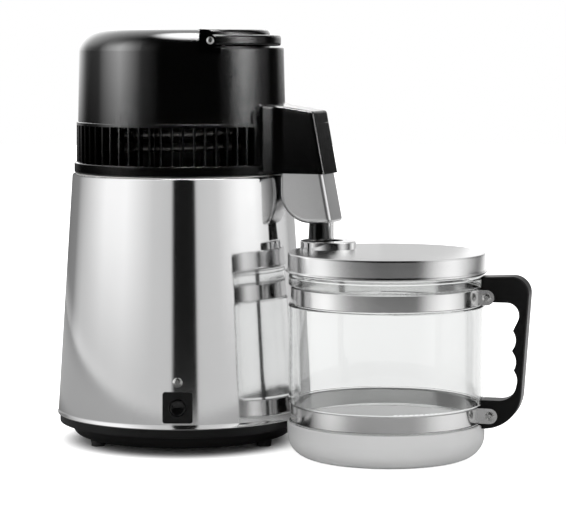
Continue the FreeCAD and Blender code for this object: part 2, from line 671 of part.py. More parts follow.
def make_head_plate():
    """Steel plate that closes the pot, domed to the steam port in its middle."""
    edge = VENT_TOP_RADIUS - VENT_DEPTH + RING_SHELF - 3 * FIT
    t = SHEET
    port = COIL_TUBE + FIT / 2
    skirt = POT_RADIUS - SHEET - SKIRT_GAP
    low, high = PLATE_BOTTOM + DOME_HEIGHT, PLATE_TOP + DOME_HEIGHT
    return turned([
        (port, low), (port + 2, low, 1), (DOME_RADIUS, PLATE_BOTTOM, 4), (skirt - t, PLATE_BOTTOM),
        (skirt - t, PLATE_BOTTOM - PLATE_SKIRT), (skirt, PLATE_BOTTOM - PLATE_SKIRT), (skirt, PLATE_BOTTOM),
        (edge, PLATE_BOTTOM), (edge, PLATE_TOP), (DOME_RADIUS + FIT, PLATE_TOP, 4), (port + 2, high, 1),
        (port + t, high), (port + t, high + PLATE_PORT), (port, high + PLATE_PORT)])


def spout_bearing(index):
    """True where a vent pitch lies behind the spout's collar."""
    angle = index * 360.0 / VENT_PITCHES
    off = (angle - SPOUT_ANGLE + 180.0) % 360.0 - 180.0
    return abs(off) < COLLAR_ANGLE + 2.0


def make_vent_ring():
    """Moulded ring of upright slats between two bands; closed behind the spout."""
    inner = VENT_TOP_RADIUS - VENT_DEPTH
    low, high = HEAD_BOTTOM + VENT_FOOT_BAND, VENT_TOP - VENT_TOP_BAND
    spigot = CAP_FOOT_RADIUS - CAP_WALL - FIT - SLACK * 4
    ring = turned([
        (inner + RING_SHELF, HEAD_BOTTOM), (VENT_FOOT_RADIUS, HEAD_BOTTOM, 0.8),
        (VENT_FOOT_RADIUS, low - 0.8, 0.5), (VENT_RADIUS, low), (VENT_TOP_RADIUS, VENT_TOP, 0.7),
        (spigot, VENT_TOP), (spigot, VENT_TOP + VENT_SPIGOT, 0.5), (inner, VENT_TOP + VENT_SPIGOT),
        (inner, PLATE_TOP + FIT), (inner + RING_SHELF, PLATE_TOP + FIT)])
    pitch = 360.0 / VENT_PITCHES
    outer = VENT_FOOT_RADIUS + 2
    half = math.radians(pitch) / 2
    bevel = VENT_TOP_RADIUS - SLAT_BEVEL
    sides = []
    for radius, flare in ((inner - THROUGH, 0.0), (bevel, 0.0), (outer, outer - bevel)):
        sides.append((radius * math.cos(half), radius * math.sin(half) - VENT_SLAT / 2 + flare))
    wedge = extruded(sides + [(u, -v) for u, v in reversed(sides)], low, high, level)
    slots = []
    for i in range(VENT_PITCHES):
        if spout_bearing(i):
            continue
        slots.append(moved(wedge, i * pitch))
    hole = rod(COIL_TUBE + FIT, FreeCAD.Vector(inner - 2, 0, HEAD_BOTTOM + OUTLET_HEIGHT),
               FreeCAD.Vector(outer + 2, 0, HEAD_BOTTOM + OUTLET_HEIGHT))
    slots.append(moved(hole, SPOUT_ANGLE))
    return cut(ring, *slots)


def coil_slope():
    return math.atan(COIL_PITCH / (2 * math.pi * COIL_RADIUS))


def coil_lead():
    """From the end of the turns to the corner of the bend that leads away from them, seen from above."""
    return COIL_RADIUS * math.tan(math.radians(COIL_START))


def coil_level(bearing):
    """Height of the coil's centre line at a bearing from the spout, counted on through its turns."""
    rise = coil_lead() * math.tan(coil_slope()) + COIL_PITCH * (bearing - COIL_START) / 360.0
    return HEAD_BOTTOM + OUTLET_HEIGHT + rise


def steam_level():
    """Height of the pipe that crosses from the middle to the top of the coil."""
    return coil_level(COIL_START + 360.0 * COIL_TURNS) + coil_lead() * math.tan(coil_slope())


def arc_at(corner, before, after):
    """A tangent arc that starts as far from a corner as the point before it, towards the point after."""
    back = before - corner
    ahead = after - corner
    ahead.multiply(back.Length / ahead.Length)
    half = back.getAngle(ahead) / 2
    middle = back + ahead
    middle.normalize()
    radius = back.Length * math.tan(half)
    top = corner + middle * (radius / math.sin(half) - radius)
    return Part.Arc(before, top, corner + ahead).toShape(), corner + ahead


def make_condenser_coil():
    """Steam comes up in the middle, runs down round the coil and leaves through the spout."""
    helix = Part.makeHelix(COIL_PITCH, COIL_PITCH * COIL_TURNS, COIL_RADIUS)
    turns = moved(helix, COIL_START, z=coil_level(COIL_START)).Edges
    low = turns[0].valueAt(turns[0].FirstParameter)
    high = turns[-1].valueAt(turns[-1].LastParameter)
    run = coil_lead() / math.cos(coil_slope())
    low_corner = low - turns[0].tangentAt(turns[0].FirstParameter) * run
    high_corner = high + turns[-1].tangentAt(turns[-1].LastParameter) * run
    outlet = FreeCAD.Vector(CUP_ROOT + OUTLET_REACH, 0, HEAD_BOTTOM + OUTLET_HEIGHT)
    centre = FreeCAD.Vector(0, 0, steam_level())
    port = FreeCAD.Vector(0, 0, PLATE_TOP + DOME_HEIGHT + PLATE_PORT - PORT_ENTRY)
    low_bend, low_end = arc_at(low_corner, low, outlet)
    high_bend, high_end = arc_at(high_corner, high, centre)
    inward = centre - high_end
    inward.normalize()
    top_end = centre - inward * COIL_BEND
    top_bend, drop = arc_at(centre, top_end, port)
    path = [Part.LineSegment(outlet, low_end).toShape(), low_bend, *turns, high_bend,
            Part.LineSegment(high_end, top_end).toShape(), top_bend, Part.LineSegment(drop, port).toShape()]
    section = Part.Wire([Part.Circle(outlet, X_AXIS, COIL_TUBE).toShape()])
    pipe = Part.Wire(path).makePipeShell([section], True, True)
    mouth = rod(COIL_TUBE - SHEET, outlet - X_AXIS * MOUTH_DEPTH, outlet + X_AXIS)
    return moved(pipe.cut(mouth), SPOUT_ANGLE)


def make_air_guide():
    """Moulded drum inside the coil, which sends the fan's air out past the fins."""
    r, t, low = GUIDE_RADIUS, GUIDE_WALL, PLATE_TOP + FIT
    top = steam_level() - COIL_TUBE - GUIDE_CLEAR
    return turned([(r - t, low), (r, low), (r, top, GUIDE_ROUND), (COIL_BEND, top), (COIL_BEND, top - t),
                   (r - t, top - t, GUIDE_ROUND - t)])


def make_condenser_fins():
    """Upright aluminium fins threaded on the coil, with a free sector for its two leads."""
    low = PLATE_TOP + FIT
    fin = block(FIN_INNER, FIN_OUTER, -FIN_THICK / 2, FIN_THICK / 2, low, low + FIN_HEIGHT)
    fins = []
    for i in range(FIN_COUNT):
        bearing = FIN_SECTOR * 0.75 + i * (360.0 - FIN_SECTOR) / (FIN_COUNT - 1)
        holes = []
        level = bearing
        while level < COIL_START + 360.0 * COIL_TURNS:
            centre = FreeCAD.Vector(COIL_RADIUS, 0, coil_level(level))
            holes.append(rod(COIL_TUBE + FIN_HOLE_GAP, centre - Y_AXIS, centre + Y_AXIS))
            level += 360.0
        fins.append(moved(cut(fin, *holes), SPOUT_ANGLE + bearing))
    return Part.makeCompound(fins)


def make_fan_motor():
    """Small shaded-pole motor on the bracket, shaft down."""
    r, low, high = MOTOR_RADIUS, BRACKET_TOP, BRACKET_TOP + MOTOR_HEIGHT
    boss, step = MOTOR_BEARING + 1, MOTOR_STEP
    body = turned([(0, low), (r, low), (r, low + step), (r - step, low + step), (r - step, high, 4),
                   (boss, high), (boss, high + 2, 1), (0, high + 2)])
    bearing = tube(MOTOR_BEARING, 0, BRACKET_BOTTOM, low + THROUGH)
    shaft = tube(MOTOR_SHAFT, 0, FAN_BOTTOM + FAN_FLOOR, low + THROUGH)
    return fused(body, bearing, shaft)


def make_motor_bracket():
    """Three-armed spider between the motor and the cap's posts."""
    ring = tube(MOTOR_RADIUS, MOTOR_BEARING + FIT, BRACKET_BOTTOM, BRACKET_TOP)
    root, half = MOTOR_RADIUS - MOTOR_STEP, BRACKET_WIDE / 2
    end = POST_CIRCLE + half
    arm = extruded([(root, -half), (end, -half, half - 1), (end, half, half - 1), (root, half)],
                   BRACKET_BOTTOM, BRACKET_TOP, level)
    hole = tube(BRACKET_SCREW + SLACK, 0, BRACKET_BOTTOM - THROUGH, BRACKET_TOP + THROUGH)
    hole = moved(hole, x=POST_CIRCLE)
    return fused(ring, *[moved(arm.cut(hole), angle) for angle in POST_ANGLES])


def make_bracket_screws():
    """Pan-head screws up into the posts."""
    screw = cross_screw(BRACKET_SCREW_HEAD, BRACKET_SCREW, BRACKET_SCREW_LENGTH, 0.4)
    screw.rotate(ORIGIN, Y_AXIS, 90)
    screw.translate(Z_AXIS * (BRACKET_BOTTOM - RUNNING))
    return Part.makeCompound([moved(moved(screw, x=POST_CIRCLE), angle) for angle in POST_ANGLES])


def make_fan_rotor():
    """Axial fan: a cup hub and cambered blades set at a pitch."""
    r, bore, floor, neck = FAN_HUB, MOTOR_SHAFT + RUNNING, FAN_BOTTOM + FAN_FLOOR, FAN_TOP - FAN_WALL
    hub = turned([(bore, FAN_BOTTOM), (r, FAN_BOTTOM, FAN_FLOOR), (r, FAN_TOP), (r - FAN_WALL, FAN_TOP),
                  (r - FAN_WALL, floor), (FAN_BOSS, floor), (FAN_BOSS, neck), (bore, neck)])
    half, rise, t = FAN_CHORD / 2, FAN_CAMBER, FAN_BLADE
    upper = Part.Arc(facing(-half, 0), facing(0, rise), facing(half, 0)).toShape()
    lower = Part.Arc(facing(half, 0), facing(0, rise - t), facing(-half, 0)).toShape()
    blade = Part.Face(Part.Wire([upper, lower])).extrude(X_AXIS * (FAN_RADIUS + 10))
    blade.rotate(ORIGIN, X_AXIS, FAN_PITCH)
    blade.translate(Z_AXIS * (FAN_BOTTOM + FAN_TOP) / 2)
    ring = tube(FAN_RADIUS, r - 1, FAN_BOTTOM, FAN_TOP)
    blade = blade.common(ring)
    pitch = 360.0 / FAN_BLADES
    return fused(hub, *[moved(blade, i * pitch) for i in range(FAN_BLADES)])


# ---------------------------------------------------------------- spout
def hood_front(height):
    """Front face of the spout at a height: one leaning plane for the hood and the cup."""
    lean = SPOUT_LEAN / (ROOF - SPOUT_DROP - SPOUT_BOTTOM)
    return SPOUT_REACH - lean * (height - SPOUT_BOTTOM)


def softened(solid, radius, wanted):
    """Rounds the edges whose bounding boxes are wanted."""
    return solid.makeFillet(radius, [edge for edge in solid.Edges if wanted(edge.BoundBox)])


def hood_root():
    """Where the spout's forms start, well inside the head's wall."""
    return VENT_TOP_RADIUS - VENT_DEPTH - 10


def hood_form(inset, low):
    """The spout's outer form, or its hollow when inset. The outer form flares at its root."""
    root, aside, beyond = hood_root(), SPOUT_WIDE * 1.5, SPOUT_REACH * 1.3
    w = SPOUT_WIDE / 2 - inset
    front_top = ROOF - SPOUT_DROP - inset
    reach = hood_front(front_top) - inset
    slope = SPOUT_DROP / (reach - CAP_FOOT_RADIUS)
    side = extruded([(root, low), (hood_front(low) - inset, low), (reach, front_top),
                     (root, front_top + slope * (reach - root))], -aside, aside)
    if inset:
        return side.common(block(root, beyond, -w, w, low - 1, CAP_TOP))
    edge = CAP_FOOT_RADIUS + COLLAR_THICK
    u, v = edge * math.cos(math.radians(COLLAR_ANGLE)), edge * math.sin(math.radians(COLLAR_ANGLE))
    plan = extruded([(root, -v), (u, -v, ROOT_ROUND), (FLARE_REACH, -w, FLARE_ROUND), (beyond, -w),
                     (beyond, w), (FLARE_REACH, w, FLARE_ROUND), (u, v, ROOT_ROUND), (root, v)],
                    low, CAP_TOP, level)
    solid = side.common(plan)
    return softened(solid, SPOUT_CORNER, lambda b: b.XMin > u + ROOT_ROUND and b.ZMax > front_top - 1)


def spout_hollow():
    return hood_form(SPOUT_WALL, SPOUT_BOTTOM - 1).cut(tube(VENT_RADIUS + FIT, 0, SPOUT_BOTTOM - 9, CAP_TOP))


def hood_part(low, high, keep_out):
    """The hood between two levels, outside a radius, hollowed."""
    beyond, aside = SPOUT_REACH * 1.3, SPOUT_WIDE * 1.5
    hood = hood_form(0.0, SPOUT_BOTTOM).common(block(0, beyond, -aside, aside, low, high))
    return hood.cut(tube(keep_out, 0, low - THROUGH, high + THROUGH)).cut(spout_hollow())


def cup_form(inset, top):
    """The filter cup's form: a flat-sided scoop with a round heel."""
    w = SPOUT_WIDE / 2 - SPOUT_WALL - FIT - inset
    low = CUP_BOTTOM + inset
    back = CUP_ROOT + inset
    gap = SPOUT_WALL + FIT + inset
    solid = extruded([(back, top), (back, low, CUP_HEEL - inset), (hood_front(low) - gap, low + CUP_RISE, 3),
                      (hood_front(top) - gap, top)], -w, w)
    return softened(solid, CUP_CORNER,
                    lambda b: b.XMin > SPOUT_REACH - 20 and b.ZLength > 20 and b.YLength < 1)


def make_filter_cup():
    top = SPOUT_BOTTOM + CUP_TUCK
    cup = cup_form(0.0, top).cut(cup_form(SHEET, top + 1))
    low, high = CUP_BOTTOM - 2, CUP_BOTTOM + NOZZLE_ROOT
    drip = moved(tube(NOZZLE_BORE, 0, low, high), x=NOZZLE_REACH)
    vent = moved(tube(TUBE_RADIUS - TUBE_WALL, 0, low, high), x=tube_reach())
    return moved(cut(cup, drip, vent), SPOUT_ANGLE)


def make_carbon_sachet():
    """Filter sachet lying in the cup."""
    top = CUP_BOTTOM + SACHET_HEIGHT
    return moved(cup_form(SHEET + FIT, top), SPOUT_ANGLE)


def tube_reach():
    return NOZZLE_REACH + NOZZLE_RADIUS + FIT / 2 + TUBE_RADIUS


def make_nozzle():
    """Moulded outlet under the cup, over the carafe's inlet."""
    top = CUP_BOTTOM + NOZZLE_ROOT
    solid = turned([(NOZZLE_BORE, NOZZLE_BOTTOM), (NOZZLE_RADIUS, NOZZLE_BOTTOM, 0.6),
                    (NOZZLE_RADIUS - NOZZLE_TAPER, top), (NOZZLE_BORE, top)])
    return moved(moved(solid, x=NOZZLE_REACH).cut(cup_form(0.0, SPOUT_BOTTOM)), SPOUT_ANGLE)


def make_drip_tube():
    """Clear tube beside the nozzle."""
    top = CUP_BOTTOM + NOZZLE_ROOT
    solid = tube(TUBE_RADIUS, TUBE_RADIUS - TUBE_WALL, NOZZLE_BOTTOM, top)
    return moved(moved(solid, x=tube_reach()).cut(cup_form(0.0, SPOUT_BOTTOM)), SPOUT_ANGLE)


def make_lower_housing():
    ring = make_vent_ring()
    hood = moved(hood_part(SPOUT_BOTTOM, SEAM, VENT_TOP_RADIUS - 0.5), SPOUT_ANGLE)
    height = HEAD_BOTTOM + OUTLET_HEIGHT
    outlet = rod(COIL_TUBE + FIT, FreeCAD.Vector(hood_root(), 0, height), FreeCAD.Vector(CUP_ROOT, 0, height))
    return fused(ring, hood).cut(moved(outlet, SPOUT_ANGLE))


# ---------------------------------------------------------------- cap and bail
def cap_form(inset):
    """The cap's outer form, or its inside when inset."""
    top = CAP_TOP - inset
    return turned([(0, CAP_BOTTOM), (CAP_FOOT_RADIUS - inset, CAP_BOTTOM),
                   (CAP_SHOULDER_RADIUS - inset, top, CAP_SHOULDER - inset), (0, top)])


def bail_recess(grow):
    """What is taken out of the cap so that the bail can lie flat round its crown."""
    crown, ledge, top = CROWN_RADIUS - grow, LEDGE - grow, CAP_TOP - grow
    far, high = CAP_FOOT_RADIUS + 20, CAP_TOP + 20
    spread = RECESS_ANGLE + math.degrees(grow / CROWN_RADIUS)
    return turned([(crown, ledge), (far, ledge), (far, high), (crown - 20, high), (crown - 20, top),
                   (crown, top, CROWN_EDGE)], 2 * spread, -spread)


def bail_pockets(grow):
    """Deeper pockets round the two pivots."""
    low, half = CAP_TOP - POCKET_DEPTH - grow, POCKET_WIDE / 2 + grow
    near, far = POCKET_REACH - grow, CAP_FOOT_RADIUS + 20
    return [block(BAIL_PIVOT_X - half, BAIL_PIVOT_X + half, y0, y1, low, CAP_TOP + 20)
            for y0, y1 in ((near, far), (-far, -near))]


def bail_ear_middle():
    return math.sqrt(BAIL_RADIUS ** 2 - BAIL_PIVOT_X ** 2)


def on_pivot(side, reach):
    return FreeCAD.Vector(BAIL_PIVOT_X, side * reach, PIVOT)


def make_upper_cover():
    """Glossy cap with the spout's roof, the bail's recess, the fan's posts and the air intake."""
    outside = cap_form(0.0).cut(bail_recess(0.0))
    outside = softened(outside, 1.5, lambda b: b.ZLength < 0.01 and abs(b.ZMax - LEDGE) < 0.01
                       and b.XMax > CROWN_RADIUS + 5 and b.XLength > 20)
    outside = cut(outside, *bail_pockets(0.0))
    inside = cap_form(CAP_WALL).cut(bail_recess(CAP_WALL)).cut(Part.makeCompound(bail_pockets(CAP_WALL)))
    cover = outside.cut(inside)
    ear = math.sqrt((BAIL_RADIUS - BAIL_WIDE / 2) ** 2 - (BAIL_PIVOT_X + BAIL_BOSS) ** 2)
    bosses = [rod(BAIL_BOSS, on_pivot(side, POCKET_REACH - 8), on_pivot(side, ear - FIT)) for side in (-1, 1)]
    posts = [moved(moved(tube(POST_RADIUS, 0, BRACKET_TOP, CAP_TOP - 1), x=POST_CIRCLE), angle)
             for angle in POST_ANGLES]
    collar = CAP_FOOT_RADIUS + COLLAR_THICK
    half = (CAP_FOOT_RADIUS + LOBE_THICK) * math.sin(math.radians(LOBE_ANGLE))
    lobe = extruded([(-half, CAP_BOTTOM), (half, CAP_BOTTOM), (half, CAP_BOTTOM + LOBE_HEIGHT, 8),
                     (-half, CAP_BOTTOM + LOBE_HEIGHT, 8)], hood_root(), CAP_FOOT_RADIUS * 1.3, facing)
    lobe = lobe.common(tube(CAP_FOOT_RADIUS + LOBE_THICK, CAP_FOOT_RADIUS - 1.2, CAP_BOTTOM, CAP_TOP))
    hood = hood_part(CAP_BOTTOM, ROOF + 9, CAP_FOOT_RADIUS - 1.2)
    cover = fused(cover, moved(lobe, SPOUT_ANGLE), moved(hood, SPOUT_ANGLE), *bosses, *posts)
    pivot = BAIL_SCREW + RUNNING
    tools = [rod(pivot, on_pivot(side, POCKET_REACH - 6.5), on_pivot(side, ear)) for side in (-1, 1)]
    top = BRACKET_TOP + BRACKET_SCREW_LENGTH + THROUGH
    thread = moved(tube(BRACKET_SCREW + RUNNING, 0, BRACKET_TOP - THROUGH, top), x=POST_CIRCLE)
    tools += [moved(thread, angle) for angle in POST_ANGLES]
    wide, end = INTAKE_SLOT / 2, INTAKE_END
    slot = extruded([(INTAKE_INNER, -wide, end), (INTAKE_OUTER, -wide, end), (INTAKE_OUTER, wide, end),
                     (INTAKE_INNER, wide, end)], CAP_TOP - CAP_WALL - THROUGH, CAP_TOP + THROUGH, level)
    tools += [moved(slot, i * 360.0 / INTAKE_SLOTS) for i in range(INTAKE_SLOTS)]
    tools.append(set_in_wall(plate(INLET_BODY_WIDTH + FIT, INLET_BODY_TALL + FIT, -8, 8, 1.5),
                             INLET_ANGLE, FAN_INLET_HEIGHT, cap_radius(FAN_INLET_HEIGHT), CAP_TAPER))
    return cut(cover, *tools)


def make_fan_inlet():
    return set_in_wall(inlet_body(), INLET_ANGLE, FAN_INLET_HEIGHT, cap_radius(FAN_INLET_HEIGHT), CAP_TAPER)


def make_fan_pins():
    return set_in_wall(inlet_pins(), INLET_ANGLE, FAN_INLET_HEIGHT, cap_radius(FAN_INLET_HEIGHT), CAP_TAPER)


def make_bail_handle():
    """Half-hoop carrying bail with a flat ear at each end."""
    half, tall, r = BAIL_WIDE / 2, BAIL_TALL / 2, BAIL_RADIUS
    spread = math.degrees(math.acos(BAIL_PIVOT_X / BAIL_RADIUS))
    low, high = PIVOT - tall, PIVOT + tall
    bar = turned([(r - half, low, BAIL_ROUND), (r + half, low, BAIL_ROUND), (r + half, high, BAIL_ROUND),
                  (r - half, high, BAIL_ROUND)], 2 * spread, -spread)
    middle = bail_ear_middle()
    near, far = middle - BAIL_WIDE / 2, middle + BAIL_WIDE / 2
    ears = [rod(BAIL_EAR, on_pivot(side, near), on_pivot(side, far)) for side in (-1, 1)]
    holes = [rod(BAIL_SCREW + RUNNING, on_pivot(side, near - 9), on_pivot(side, far + 9)) for side in (-1, 1)]
    return cut(fused(bar, *ears), *holes)


def make_bail_screws():
    """Shoulder screws that the bail turns on."""
    under = bail_ear_middle() + BAIL_WIDE / 2 + 0.15
    screw = cross_screw(BAIL_SCREW_HEAD, BAIL_SCREW, under - POCKET_REACH + 6.0, 0.5)
    both = []
    for side in (-1, 1):
        one = screw.copy()
        one.rotate(ORIGIN, Z_AXIS, 90 * side)
        one.translate(on_pivot(side, under))
        both.append(one)
    return Part.makeCompound(both)


# ---------------------------------------------------------------- carafe
def by_jug(shape, angle=0.0):
    return moved(shape, angle, CARAFE_X, CARAFE_Y)


def jug_outline(grow):
    """Outer outline of the jug, from its foot to its rim."""
    points = [(JUG_FOOT_RADIUS + grow, 0.0, JUG_CORNER + grow)]
    low_body = True
    for middle in (LOWER_BAND, UPPER_BAND):
        wall = JUG_FOOT_RADIUS if low_body else JUG_BODY_RADIUS
        near, far = middle - GROOVE_WIDE / 2, middle + GROOVE_WIDE / 2
        points += [(wall + grow, near - GROOVE_SLOPE, 1.5), (JUG_GROOVE_RADIUS + grow, near, 1.0),
                   (JUG_GROOVE_RADIUS + grow, far, 1.0), (JUG_BODY_RADIUS + grow, far + GROOVE_SLOPE, 1.5)]
        low_body = False
    points += [(JUG_BODY_RADIUS + grow, JUG_NECK, 2.0), (JUG_RIM_RADIUS + grow, JUG_NECK + 3, 2.0)]
    return points


def make_glass_jug():
    """Blown jug, grooved for its two bands, with a thick foot."""
    outer = jug_outline(0.0)
    inner = [(radius - JUG_WALL, max(height, JUG_FLOOR), max(rounding - JUG_WALL, 1.0))
             for radius, height, rounding in reversed(outer)]
    rim = [(JUG_RIM_RADIUS, JUG_HEIGHT, 1.4), (JUG_RIM_RADIUS - JUG_WALL, JUG_HEIGHT, 1.4)]
    ring = JUG_FOOT_RADIUS - JUG_CORNER - 4
    foot = [(0, JUG_KICK), (ring - 2, JUG_KICK, 2.0), (ring, 0.0, 1.0)]
    return by_jug(turned(foot + outer + rim + inner + [(0, JUG_FLOOR)]))


def make_band(middle, screw_reach):
    """Clamp band in its groove, with two ears along the sides of the handle's arm."""
    inner, half = JUG_GROOVE_RADIUS + 0.1, BAND_WIDE / 2
    outer = inner + BAND_THICK
    side = HANDLE_THICK / 2 + 0.1
    ring = tube(outer, inner, middle - half, middle + half)
    ring = ring.cut(block(0, outer + 9, -side, side, middle - half - 1, middle + half + 1))
    ears = []
    for sign in (-1, 1):
        y0, y1 = sorted((sign * side, sign * (side + BAND_THICK)))
        root = math.sqrt(inner ** 2 - side ** 2)
        tab = block(root, screw_reach, y0, y1, middle - half, middle + half)
        end = rod(half, FreeCAD.Vector(screw_reach, y0, middle), FreeCAD.Vector(screw_reach, y1, middle))
        ears += [tab, end]
    band = fused(ring, *ears)
    hole = rod(CLAMP_SCREW + SLACK, FreeCAD.Vector(screw_reach, -side - 5, middle),
               FreeCAD.Vector(screw_reach, side + 5, middle))
    return by_jug(band.cut(hole), HANDLE_ANGLE)


def make_upper_band():
    return make_band(UPPER_BAND, UPPER_SCREW_REACH)


def make_lower_band():
    return make_band(LOWER_BAND, LOWER_SCREW_REACH)


def make_jug_handle():
    """Moulded handle with finger grips, clamped between the bands' ears."""
    back, half = HANDLE_ROOT, HANDLE_THICK / 2
    foot = HANDLE_OUT - HANDLE_LEAN
    outer = extruded([(back, HANDLE_TOP), (HANDLE_OUT, HANDLE_TOP + HANDLE_RISE, HANDLE_SHOULDER),
                      (foot, HANDLE_BOTTOM, HANDLE_HEEL), (back, HANDLE_BOTTOM)], -half, half)
    top, low = HANDLE_TOP - HANDLE_ARM, HANDLE_BOTTOM + HANDLE_LOWER_ARM
    line, tall = HANDLE_OUT - HANDLE_GRIP, top - low
    grips = []
    for i, (share, depth) in enumerate(GRIP_PEAKS):
        below = GRIP_PEAKS[i + 1][0] if i + 1 < len(GRIP_PEAKS) else GRIP_END
        grips += [(line - depth, low + share * tall, tall * GRIP_POINT),
                  (line - depth * 0.1, low + (share + below) / 2 * tall, tall * GRIP_HOLLOW)]
    gap = extruded([(back, top), (line, top, tall * GRIP_TOP_CORNER),
                    (line, low + GRIP_RIM * tall, tall * GRIP_RIM_CORNER), *grips,
                    (line - HANDLE_LEAN / 2, low, tall * GRIP_LOW_CORNER), (back, low)],
                   -half - THROUGH, half + THROUGH)
    handle = softened(outer.cut(gap), HANDLE_EDGE, lambda b: b.YLength < 0.01 and b.XMax > back + 1)
    jug = turned([(0, -1), (JUG_FOOT_RADIUS + FIT, -1)] + [point[:2] for point in jug_outline(FIT)[1:]]
                 + [(JUG_RIM_RADIUS + FIT, JUG_HEIGHT), (0, JUG_HEIGHT)])
    holes = [rod(CLAMP_SCREW + SLACK, FreeCAD.Vector(reach, -half - 5, middle),
                 FreeCAD.Vector(reach, half + 5, middle))
             for middle, reach in ((UPPER_BAND, UPPER_SCREW_REACH), (LOWER_BAND, LOWER_SCREW_REACH))]
    return by_jug(cut(handle, jug, *holes), HANDLE_ANGLE)


def clamp_pieces(piece):
    """One of a piece at each clamp, its +X turned to face the front."""
    both = []
    for middle, reach in ((UPPER_BAND, UPPER_SCREW_REACH), (LOWER_BAND, LOWER_SCREW_REACH)):
        one = piece.copy()
        one.rotate(ORIGIN, Z_AXIS, -90)
        one.translate(FreeCAD.Vector(reach, -HANDLE_THICK / 2 - 0.1 - BAND_THICK, middle))
        both.append(by_jug(one, HANDLE_ANGLE))
    return Part.makeCompound(both)


def clamp_span():
    return HANDLE_THICK + 2 * (BAND_THICK + 0.1)


def make_clamp_screws():
    return clamp_pieces(cross_screw(CLAMP_SCREW_HEAD, CLAMP_SCREW, clamp_span() + CLAMP_END, 0.6))


def make_clamp_nuts():
    return clamp_pieces(hexagon(CLAMP_NUT, CLAMP_SCREW + RUNNING, -clamp_span() - NUT_THICK, -clamp_span()))


def collar_offset():
    """Where the inlet collar stands on the lid: as far towards the spout as the lid allows."""
    spout = math.radians(SPOUT_ANGLE)
    x = NOZZLE_REACH * math.cos(spout) - CARAFE_X
    y = NOZZLE_REACH * math.sin(spout) - CARAFE_Y
    share = min(1.0, (LID_RADIUS - COLLAR_RADIUS - COLLAR_INSET) / math.hypot(x, y))
    return x * share, y * share


def make_lid():
    """Pressed lid with a rolled edge and a hole for its collar."""
    r, t = LID_RADIUS, SHEET
    low = LID_TOP - LID_HEIGHT
    lid = turned([(0, LID_TOP - t), (r - t, LID_TOP - t, 0.8), (r - t, low, 0.7), (r + LID_BEAD, low, 1.0),
                  (r + LID_BEAD, low + LID_BEAD_TALL, 1.0), (r, low + LID_BEAD_TALL, 0.6), (r, LID_TOP, 1.5),
                  (0, LID_TOP)])
    x, y = collar_offset()
    hole = moved(tube(COLLAR_HOLE + SHEET + 0.1, 0, LID_TOP - 5, LID_TOP + 5), x=x, y=y)
    return by_jug(lid.cut(hole))


def make_inlet_collar():
    """Raised ring that takes the drip, its lip turned down through the lid."""
    r, t, hole = COLLAR_RADIUS, SHEET, COLLAR_HOLE
    low, high = LID_TOP - COLLAR_LIP, COLLAR_TOP - t
    collar = turned([(hole, low), (hole + t, low), (hole + t, high, 0.5), (r - t, high, 0.5),
                     (r - t, LID_TOP), (r, LID_TOP), (r, COLLAR_TOP, 1.2), (hole, COLLAR_TOP, 0.7)])
    x, y = collar_offset()
    return by_jug(moved(collar, x=x, y=y))


NODES = {
    "base_pan": make_base_pan,
    "rubber_feet": make_rubber_feet,
    "foot_screws": make_foot_screws,
    "outer_shell": make_outer_shell,
    "boiling_pot": make_boiling_pot,
    "heater_plate": make_heater_plate,
    "heating_element": make_heating_element,
    "thermostats": make_thermostats,
    "switch_bezel": make_switch_bezel,
    "start_button": make_start_button,
    "earth_screw": make_earth_screw,
    "earth_nut": make_earth_nut,
    "mains_inlet": make_mains_inlet,
    "mains_pins": make_mains_pins,
    "steam_gasket": make_gasket,
    "head_plate": make_head_plate,
    "lower_housing": make_lower_housing,
    "condenser_coil": make_condenser_coil,
    "condenser_fins": make_condenser_fins,
    "air_guide": make_air_guide,
    "upper_cover": make_upper_cover,
    "motor_bracket": make_motor_bracket,
    "bracket_screws": make_bracket_screws,
    "fan_motor": make_fan_motor,
    "fan_rotor": make_fan_rotor,
    "fan_inlet": make_fan_inlet,
    "fan_pins": make_fan_pins,
    "bail_handle": make_bail_handle,
    "bail_screws": make_bail_screws,
    "filter_cup": make_filter_cup,
    "carbon_sachet": make_carbon_sachet,
    "nozzle": make_nozzle,
    "drip_tube": make_drip_tube,
    "glass_jug": make_glass_jug,
    "upper_band": make_upper_band,
    "lower_band": make_lower_band,
    "jug_handle": make_jug_handle,
    "clamp_screws": make_clamp_screws,
    "clamp_nuts": make_clamp_nuts,
    "lid": make_lid,
    "inlet_collar": make_inlet_collar,
}

os.makedirs("parts", exist_ok=True)
for name, make in NODES.items():
    shape = make()
    box = shape.BoundBox
    print(name, shape.isValid(), len(shape.Solids), round(shape.Volume), len(shape.Faces),
          [round(v, 1) for v in (box.XMin, box.XMax, box.YMin, box.YMax, box.ZMin, box.ZMax)])
    shape.exportStep("parts/" + name + ".step")
